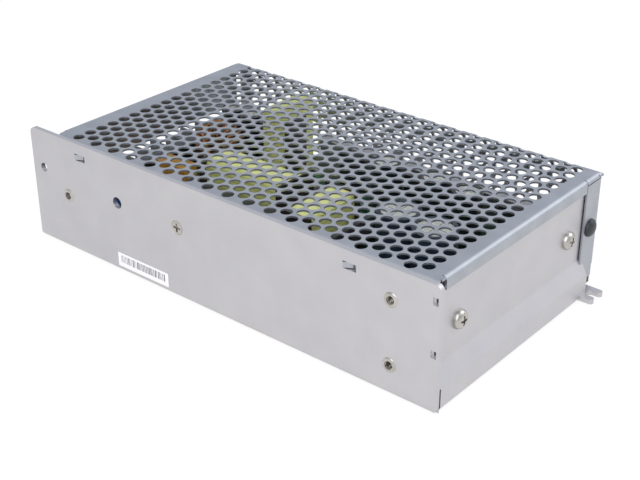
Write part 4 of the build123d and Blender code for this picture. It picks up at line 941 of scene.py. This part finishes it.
def bush_tree(material):
    """Bushes on points at the sheet's outer face, their axis running inwards along Z."""
    tree, given = new_tree("Clinched bushes", Neck=NECK[0], Sheet=NECK[1], Body=BUSH_BODY[0],
                           BodyHeight=BUSH_BODY[1], Rim=RIM[0], RimHeight=RIM[1], Bore=BORE,
                           Pitch=THREAD_PITCH, Crest=CREST_WIRE, Crests=4, Axis=(0.0, 0.0, 0.0), Scale=MM)
    halves = {}
    for label in ("Neck", "Sheet", "Body", "BodyHeight", "Rim", "Bore"):
        halves[label] = add(tree, "ShaderNodeMath", given[label], 0.5, operation="MULTIPLY")
    neck = pin(tree, BUSH_SIDES, halves["Neck"], given["Sheet"], halves["Sheet"])
    body_z = add(tree, "ShaderNodeMath", given["Sheet"], halves["BodyHeight"], operation="ADD")
    body = pin(tree, HEXAGON, halves["Body"], given["BodyHeight"], body_z)
    disc = add(tree, "GeometryNodeMeshCylinder", named={
        "Vertices": BUSH_SIDES, "Fill Segments": RIM_RINGS, "Radius": halves["Rim"], "Depth": RIM_SHEET})
    spot, share = outwards(tree, halves["Rim"])
    drop = add(tree, "ShaderNodeMath", share, RIM_STEEPNESS, operation="POWER")
    lift = add(tree, "ShaderNodeMath", drop, RIM_RISE, operation="SUBTRACT")
    lift = add(tree, "ShaderNodeMath", lift, given["RimHeight"], operation="MULTIPLY")
    rim = raised_disc(tree, disc, spot, "LESS_THAN", RIM_SHEET / 2, lift)
    bore = add(tree, "GeometryNodeMeshCylinder", named={
        "Vertices": BUSH_SIDES, "Radius": halves["Bore"], "Depth": LONG_BORE})
    bush = add(tree, "GeometryNodeJoinGeometry")
    for piece in (neck, body, rim):
        bored = add(tree, "GeometryNodeMeshBoolean", piece, bore, operation="DIFFERENCE", solver="MANIFOLD")
        tree.links.new(bored.outputs[0], bush.inputs[0])
    path = add(tree, "GeometryNodeCurvePrimitiveCircle", named={
        "Resolution": CREST_STEPS, "Radius": halves["Bore"]})
    section = add(tree, "GeometryNodeCurvePrimitiveCircle", named={
        "Resolution": CREST_SIDES, "Radius": given["Crest"]})
    crest = add(tree, "GeometryNodeCurveToMesh", path, section)
    step = add(tree, "ShaderNodeCombineXYZ", 0.0, 0.0, given["Pitch"])
    first = add(tree, "ShaderNodeCombineXYZ", 0.0, 0.0, given["Crest"])
    stack = add(tree, "GeometryNodeMeshLine", given["Crests"], None, first, step)
    crests = add(tree, "GeometryNodeInstanceOnPoints", stack, named={"Instance": crest})
    tree.links.new(add(tree, "GeometryNodeRealizeInstances", crests).outputs[0], bush.inputs[0])
    bush = add(tree, "GeometryNodeTransform", bush, named={"Scale": given["Scale"]})
    placed = add(tree, "GeometryNodeInstanceOnPoints", given["Geometry"], named={
        "Instance": bush, "Rotation": add(tree, "FunctionNodeEulerToRotation", given["Axis"])})
    placed = add(tree, "GeometryNodeRealizeInstances", placed)
    close_tree(tree, smooth_by_angle(tree, placed, SOFT_ANGLE), material)
    return tree


bush = bush_tree(nickel)
wall_places, base_places = [], []
for low, high in piece_boxes("mounting_inserts"):
    place = (low + high) / 2
    if low.z < case_low.z + NECK[1] * MM / 2:
        place.z = case_low.z
        base_places.append(place)
    else:
        place.y = NEAR_FACE
        wall_places.append(place)
wall_bushes = grow("wall_bushes", bush, points_mesh("wall_bores", wall_places),
                   Axis=(-math.pi / 2, 0.0, 0.0))
keep(wall_bushes, "nickel_steel", "mounting_inserts")
base_bushes = grow("base_bushes", bush, points_mesh("base_bores", base_places),
                   Rim=FLUSH_RIM[0], RimHeight=FLUSH_RIM[1])
keep(base_bushes, "nickel_steel")

# %% [markdown]
# ## Barbs
# The cover's near flange has two lanced barbs that snap into slots of the long wall. A barb is a
# flap of the flange bent outwards, so from outside its slanting face is bright and the gap past its
# torn end is dark. A block drawn in at one end, instanced on two points, is the flap.

# %% Barbs
# places of the slots from the ear's edge and below the cover's top
LATCHES_X = (30.0, 166.8)
LATCH_DROP = 5.9
BARB = (3.2, 2.4, 2.2)
# share of its depth by which the torn end is drawn in
BARB_DRAW = 0.75
# how far the barb stands aside from its slot's middle, and out past the wall's face
BARB_ASIDE = -1.0
BARB_PROUD = 0.4


def barb_tree(material):
    """Flaps on points: a block whose outer face is drawn in towards the case's end."""
    tree, given = new_tree("Barbs", Size=tuple(v * MM for v in BARB), Draw=BARB_DRAW)
    block = add(tree, "GeometryNodeMeshCube", given["Size"])
    spot = add(tree, "ShaderNodeSeparateXYZ", add(tree, "GeometryNodeInputPosition"))
    outer = add(tree, "FunctionNodeCompare", spot.outputs["Y"], 0.0, operation="LESS_THAN")
    torn = add(tree, "FunctionNodeCompare", spot.outputs["X"], 0.0, operation="GREATER_THAN")
    chosen = add(tree, "FunctionNodeBooleanMath", outer, torn, operation="AND")
    depth = add(tree, "ShaderNodeSeparateXYZ", given["Size"]).outputs["Y"]
    shift = add(tree, "ShaderNodeMath", depth, given["Draw"], operation="MULTIPLY")
    block = add(tree, "GeometryNodeSetPosition", block, chosen, None,
                add(tree, "ShaderNodeCombineXYZ", 0.0, shift, 0.0))
    placed = add(tree, "GeometryNodeInstanceOnPoints", given["Geometry"], named={"Instance": block})
    close_tree(tree, placed, material)
    return tree


barb_places = [(EAR_EDGE + (x + BARB_ASIDE) * MM, NEAR_FACE + (BARB[1] / 2 - BARB_PROUD) * MM,
                COVER_TOP - LATCH_DROP * MM) for x in LATCHES_X]
flaps = barb_tree(zinc)
barbs = grow("cover_barbs", flaps, points_mesh("barb_places", barb_places))
keep(barbs, "zinc_sheet")

# %% [markdown]
# ## Painted shade in the far end gap
# Below the cover's far end flange the case is open for a few millimetres. A thin flap in the black
# film's material stands in that gap so that it looks dark: the flap is painted shade. The same block
# tree gives the flap, with nothing drawn in.

# %% Painted shade in the far end gap
# a thin black flap that paints the shade of the gap
GAP_SHADE_FLAP = (0.3, 7.8, 3.9)
# inside the cover's end and its far wall, and above the base's underside
GAP_SHADE_FLAP_IN = (1.3, 8.2, 2.05)
flap_low = Vector((COVER_RIGHT, COVER_FAR, 0.0)) + Vector((-1, -1, 1)) * Vector(GAP_SHADE_FLAP_IN) * MM
flap_size = Vector(GAP_SHADE_FLAP) * MM
gap_shade_tree = barb_tree(finishes["black_film"])
gap_shade_flap = grow("gap_shade_flap", gap_shade_tree, points_mesh("gap_shade_flap_place", [flap_low + flap_size / 2]),
                 Size=tuple(flap_size), Draw=0.0)
keep(gap_shade_flap, "black_film")

# %% [markdown]
# ## Wound rings
# The mains choke and the output choke are ferrite rings wound with thick enamelled wire. Each turn
# is a loop round the square section of the ring, and the turns fan out about the ring's axis, close
# on the inside and spread on the outside. One loop is drawn as a rounded rectangle, swept with a
# round wire, and an instance of it stands at each angle.

# %% Wound rings
# middle radius of the ring, half its section's side and the wire, then turns, arcs and their sweep
FILTER_RING = (9.0, 3.6, 1.3)
FILTER_COILS = (15, 2, 132.0)
OUTPUT_RING = (8.6, 3.4, 1.5)
OUTPUT_COILS = (26, 1, 312.0)
COIL_START = 24.0
WIRE_SIDES = 8


def winding_tree(material):
    """Turns of wire about a ring that lies flat, in arcs that start half a turn apart."""
    tree, given = new_tree("Wound ring", Turns=18, Arcs=2, Ring=9.0, Half=3.6, Wire=1.2, Start=COIL_START,
                           Sweep=140.0, Place=(0.0, 0.0, 0.0), Turn=(0.0, 0.0, 0.0), Scale=MM)
    wire_radius = add(tree, "ShaderNodeMath", given["Wire"], 0.5, operation="MULTIPLY")
    reach = add(tree, "ShaderNodeMath", given["Half"], wire_radius, operation="ADD")
    side = add(tree, "ShaderNodeMath", reach, 2.0, operation="MULTIPLY")
    loop = add(tree, "GeometryNodeCurvePrimitiveQuadrilateral", side, side)
    loop = add(tree, "GeometryNodeFilletCurve", loop, mode="POLY", named={
        "Radius": wire_radius, "Limit Radius": True})
    upright = add(tree, "GeometryNodeTransform", loop, named={
        "Translation": add(tree, "ShaderNodeCombineXYZ", given["Ring"], 0.0, 0.0),
        "Rotation": (math.pi / 2, 0.0, 0.0)})
    wire = add(tree, "GeometryNodeCurvePrimitiveCircle", named={
        "Resolution": WIRE_SIDES, "Radius": wire_radius})
    turn = add(tree, "GeometryNodeCurveToMesh", upright, wire)
    count = add(tree, "ShaderNodeMath", given["Turns"], given["Arcs"], operation="MULTIPLY")
    spots = add(tree, "GeometryNodePoints", count)
    spots = add(tree, "GeometryNodeSetPosition", spots, None, (0.0, 0.0, 0.0))
    index = add(tree, "GeometryNodeInputIndex")
    arc_number = add(tree, "ShaderNodeMath", index, given["Turns"], operation="DIVIDE")
    arc_number = add(tree, "ShaderNodeMath", arc_number, operation="FLOOR")
    step = add(tree, "ShaderNodeMath", index, given["Turns"], operation="FLOORED_MODULO")
    last = add(tree, "ShaderNodeMath", given["Turns"], 1.0, operation="SUBTRACT")
    share = add(tree, "ShaderNodeMath", step, last, operation="DIVIDE")
    angle = add(tree, "ShaderNodeMath", share, given["Sweep"], given["Start"], operation="MULTIPLY_ADD")
    angle = add(tree, "ShaderNodeMath", arc_number, 180.0, angle, operation="MULTIPLY_ADD")
    angle = add(tree, "ShaderNodeMath", angle, operation="RADIANS")
    spin = add(tree, "ShaderNodeCombineXYZ", 0.0, 0.0, angle)
    placed = add(tree, "GeometryNodeInstanceOnPoints", spots, named={
        "Instance": turn, "Rotation": add(tree, "FunctionNodeEulerToRotation", spin)})
    placed = add(tree, "GeometryNodeRealizeInstances", placed)
    placed = add(tree, "GeometryNodeTransform", placed, named={
        "Translation": given["Place"], "Rotation": add(tree, "FunctionNodeEulerToRotation", given["Turn"]),
        "Scale": given["Scale"]})
    placed = add(tree, "GeometryNodeSetShadeSmooth", placed)
    close_tree(tree, placed, material)
    return tree


CHOKES = (
    # name, ring, coils, turn of the ring, replaced node
    ("filter_choke", FILTER_RING, FILTER_COILS, (0.0, 0.0, 0.0), "filter_choke_windings"),
    ("output_choke", OUTPUT_RING, OUTPUT_COILS, (math.pi / 2, 0.0, 0.0), "output_choke_winding"),
)
wound = winding_tree(finishes["copper_wire"])
for name, (ring, half, wire), (turns, arcs, sweep), turn_to, node in CHOKES:
    low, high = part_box(name + "_core")
    coils = grow(name + "_turns", wound, Turns=turns, Arcs=arcs, Ring=ring, Half=half, Wire=wire,
                 Sweep=sweep, Place=tuple((low + high) / 2), Turn=turn_to)
    keep(coils, "copper_wire", node)

# %% [markdown]
# ## Scores on the cans
# The top of an electrolytic can has a pressed cross, its weak line if the pressure inside rises.
# From above it is a pair of thin lines, dark with the shade in the pressed groove. Two flat bars,
# instanced on the middle of each can's top, show them, a fiftieth of a millimetre proud of the metal;
# their dark grey is painted shade.

# %% Scores on the cans
# length as a share of the can's diameter, then width and height in millimetres
SCORE_LINE = (0.62, 0.28, 0.04)
# dark grey of the bars: painted shade of the pressed groove
painted_score_shade = surface("pressed_score_shadow", ("#7C7F84", "#888B90"), 1.0, 0.5, 1.0)


def score_tree(material):
    """A cross of two flat bars on each point; Across is the can's diameter."""
    tree, given = new_tree("Can scores", Across=16.0, Share=SCORE_LINE[0], Width=SCORE_LINE[1],
                           Tall=SCORE_LINE[2], Scale=MM)
    length = add(tree, "ShaderNodeMath", given["Across"], given["Share"], operation="MULTIPLY")
    cross = add(tree, "GeometryNodeJoinGeometry")
    for sides in ((length, given["Width"]), (given["Width"], length)):
        bar = add(tree, "GeometryNodeMeshCube", add(tree, "ShaderNodeCombineXYZ", *sides, given["Tall"]))
        tree.links.new(bar.outputs[0], cross.inputs[0])
    placed = add(tree, "GeometryNodeInstanceOnPoints", given["Geometry"], named={
        "Instance": cross, "Scale": given["Scale"]})
    close_tree(tree, placed, material)
    return tree


scores = score_tree(painted_score_shade)
for name in ("reservoir_cans", "smoothing_cans"):
    boxes = piece_boxes(name)
    tops = [((low.x + high.x) / 2, (low.y + high.y) / 2, high.z) for low, high in boxes]
    across = (boxes[0][1].x - boxes[0][0].x) / MM
    marks = grow(name + "_scores", scores, points_mesh(name + "_tops", tops), Across=across)
    keep(marks, "can_aluminium")

# %% [markdown]
# ## Small parts on the board
# Between the large parts a board is full of small ones: dipped capacitors, small resistors, small
# box capacitors. They are strewn over the board with a fixed seed and a least distance, and a place
# is used only where nothing stands above or near it. Each kind takes every fourth place.

# %% Small parts on the board
BOARD_MARGIN = 4.0
PART_SPACING = 5.5
CLEARANCE = 2.8
PLACES_PER_SQUARE_METRE = 60000.0
FREE_ABOVE = 0.1
STREW_SEED = 11
# the shape of each kind with its sizes, and how it stands on the board, in millimetres
SMALL_BODIES = {
    "dipped": ("GeometryNodeMeshUVSphere", {"Segments": 14, "Rings": 8, "Radius": 2.0},
               {"Scale": (1.0, 0.5, 1.0), "Translation": (0.0, 0.0, 2.6)}),
    "axial": ("GeometryNodeMeshCylinder", {"Vertices": 14, "Radius": 0.9, "Depth": 5.0},
              {"Rotation": (0.0, math.pi / 2, 0.0), "Translation": (0.0, 0.0, 1.1)}),
    "radial": ("GeometryNodeMeshCylinder", {"Vertices": 18, "Radius": 2.3, "Depth": 6.5},
               {"Translation": (0.0, 0.0, 3.3)}),
    "box": ("GeometryNodeMeshCube", {"Size": (5.0, 2.4, 4.6)}, {"Translation": (0.0, 0.0, 2.4)}),
}
BOARD_PARTS = (
    "terminal_block", "voltage_trimmer", "power_lamp", "filter_choke_core", "filter_choke_windings",
    "output_choke_core", "output_choke_winding", "main_transformer_core", "main_transformer_bobbin",
    "main_transformer_winding", "drive_transformer_core", "drive_transformer_bobbin",
    "drive_transformer_winding", "edge_choke_frame", "edge_choke_coil", "reservoir_sleeves",
    "smoothing_sleeves", "varistor", "thermistor", "disc_capacitors", "film_capacitor", "fuse", "fuse_ends",
    "switching_transistors", "wall_transistor", "output_heatsink", "output_diodes", "bridge_rectifier",
    "control_board", "optocouplers", "power_resistors", "board_screws", "board_standoffs", "clamp_nuts",
)


def obstacles():
    """All parts that stand on the board, as one mesh."""
    shape = bmesh.new()
    for name in BOARD_PARTS:
        copy = nodes[name].data.copy()
        copy.transform(nodes[name].matrix_world)
        shape.from_mesh(copy)
    mesh = bpy.data.meshes.new("obstacles")
    shape.to_mesh(mesh)
    shape.free()
    return mesh


def strewn_tree(kind, material):
    """Small parts of one kind on free places of a board; the tree's geometry is what is in the way."""
    tree, given = new_tree("Small parts " + kind, Low=(0.0, 0.0, 0.0), Size=(1.0, 1.0, 0.0),
                           Spacing=PART_SPACING * MM, Clear=CLEARANCE * MM, Choice=0, Seed=STREW_SEED,
                           Scale=MM)
    extent = add(tree, "ShaderNodeSeparateXYZ", given["Size"])
    sheet = add(tree, "GeometryNodeMeshGrid", extent.outputs["X"], extent.outputs["Y"], 2, 2)
    half = add(tree, "ShaderNodeVectorMath", given["Size"], named={"Scale": 0.5}, operation="SCALE")
    centre = add(tree, "ShaderNodeVectorMath", given["Low"], half, operation="ADD")
    sheet = add(tree, "GeometryNodeTransform", sheet, named={"Translation": centre})
    spots = add(tree, "GeometryNodeDistributePointsOnFaces", sheet, distribute_method="POISSON", named={
        "Distance Min": given["Spacing"], "Density Max": PLACES_PER_SQUARE_METRE, "Seed": given["Seed"]})
    place = add(tree, "GeometryNodeInputPosition")
    near = add(tree, "GeometryNodeProximity", given["Geometry"], target_element="FACES").outputs["Distance"]
    tight = add(tree, "FunctionNodeCompare", near, given["Clear"], operation="LESS_THAN")
    above = add(tree, "GeometryNodeRaycast", given["Geometry"], named={
        "Source Position": place, "Ray Direction": (0.0, 0.0, 1.0), "Ray Length": FREE_ABOVE})
    blocked = add(tree, "FunctionNodeBooleanMath", tight, above.outputs["Is Hit"], operation="OR")
    place_number = add(tree, "ShaderNodeMath", add(tree, "GeometryNodeInputIndex"), len(SMALL_BODIES),
                       operation="FLOORED_MODULO")
    wrong = add(tree, "FunctionNodeCompare", place_number, given["Choice"], operation="NOT_EQUAL",
                named={"Epsilon": 0.1})
    unused = add(tree, "FunctionNodeBooleanMath", blocked, wrong, operation="OR")
    free = add(tree, "GeometryNodeDeleteGeometry", spots.outputs["Points"], unused, domain="POINT")
    spin = add(tree, "FunctionNodeRandomValue", data_type="INT", named={"Seed": given["Seed"], "Max_002": 1})
    quarter = add(tree, "ShaderNodeMath", socket_of(spin.outputs, "Value_002"), math.pi / 2,
                  operation="MULTIPLY")
    spin = add(tree, "FunctionNodeAxisAngleToRotation", (0.0, 0.0, 1.0), quarter)
    shape, sizes, stand = SMALL_BODIES[kind]
    body = add(tree, "GeometryNodeTransform", add(tree, shape, named=sizes), named=stand)
    placed = add(tree, "GeometryNodeInstanceOnPoints", free, named={
        "Instance": body, "Rotation": spin, "Scale": given["Scale"]})
    placed = add(tree, "GeometryNodeRealizeInstances", placed)
    close_tree(tree, smooth_by_angle(tree, placed, SOFT_ANGLE), material)
    return tree


SMALL_KINDS = (
    ("dipped", "film_yellow", surface("orange_dipped_ceramic", ("#C8702A", "#D98238"), 0.7, 0.3, coat=0.4)),
    ("axial", "resistor_body", surface("red_brown_resistor_lacquer", ("#A8452F", "#B9563C"), 0.6, 0.35)),
    ("radial", "sleeve_blue", surface("blue_shrink_sleeve", ("#2E4F93", "#3B60A8"), 1.0, 0.3, coat=0.3)),
    ("box", "lamp_green", surface("green_box_moulding", ("#4E9A5E", "#62AD70"), 0.6, 0.35)),
)
board_low, board_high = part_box("circuit_board")
in_the_way = obstacles()
margin = Vector((BOARD_MARGIN * MM, BOARD_MARGIN * MM, 0))
area_low = Vector((board_low.x, board_low.y, board_high.z)) + margin
area_size = Vector((board_high.x - board_low.x, board_high.y - board_low.y, 0)) - 2 * margin
for number, (kind, slot, material) in enumerate(SMALL_KINDS):
    strewn = grow("small_" + kind + "_parts", strewn_tree(kind, material), in_the_way.copy(),
                  Low=tuple(area_low), Size=tuple(area_size), Choice=number)
    keep(strewn, slot)
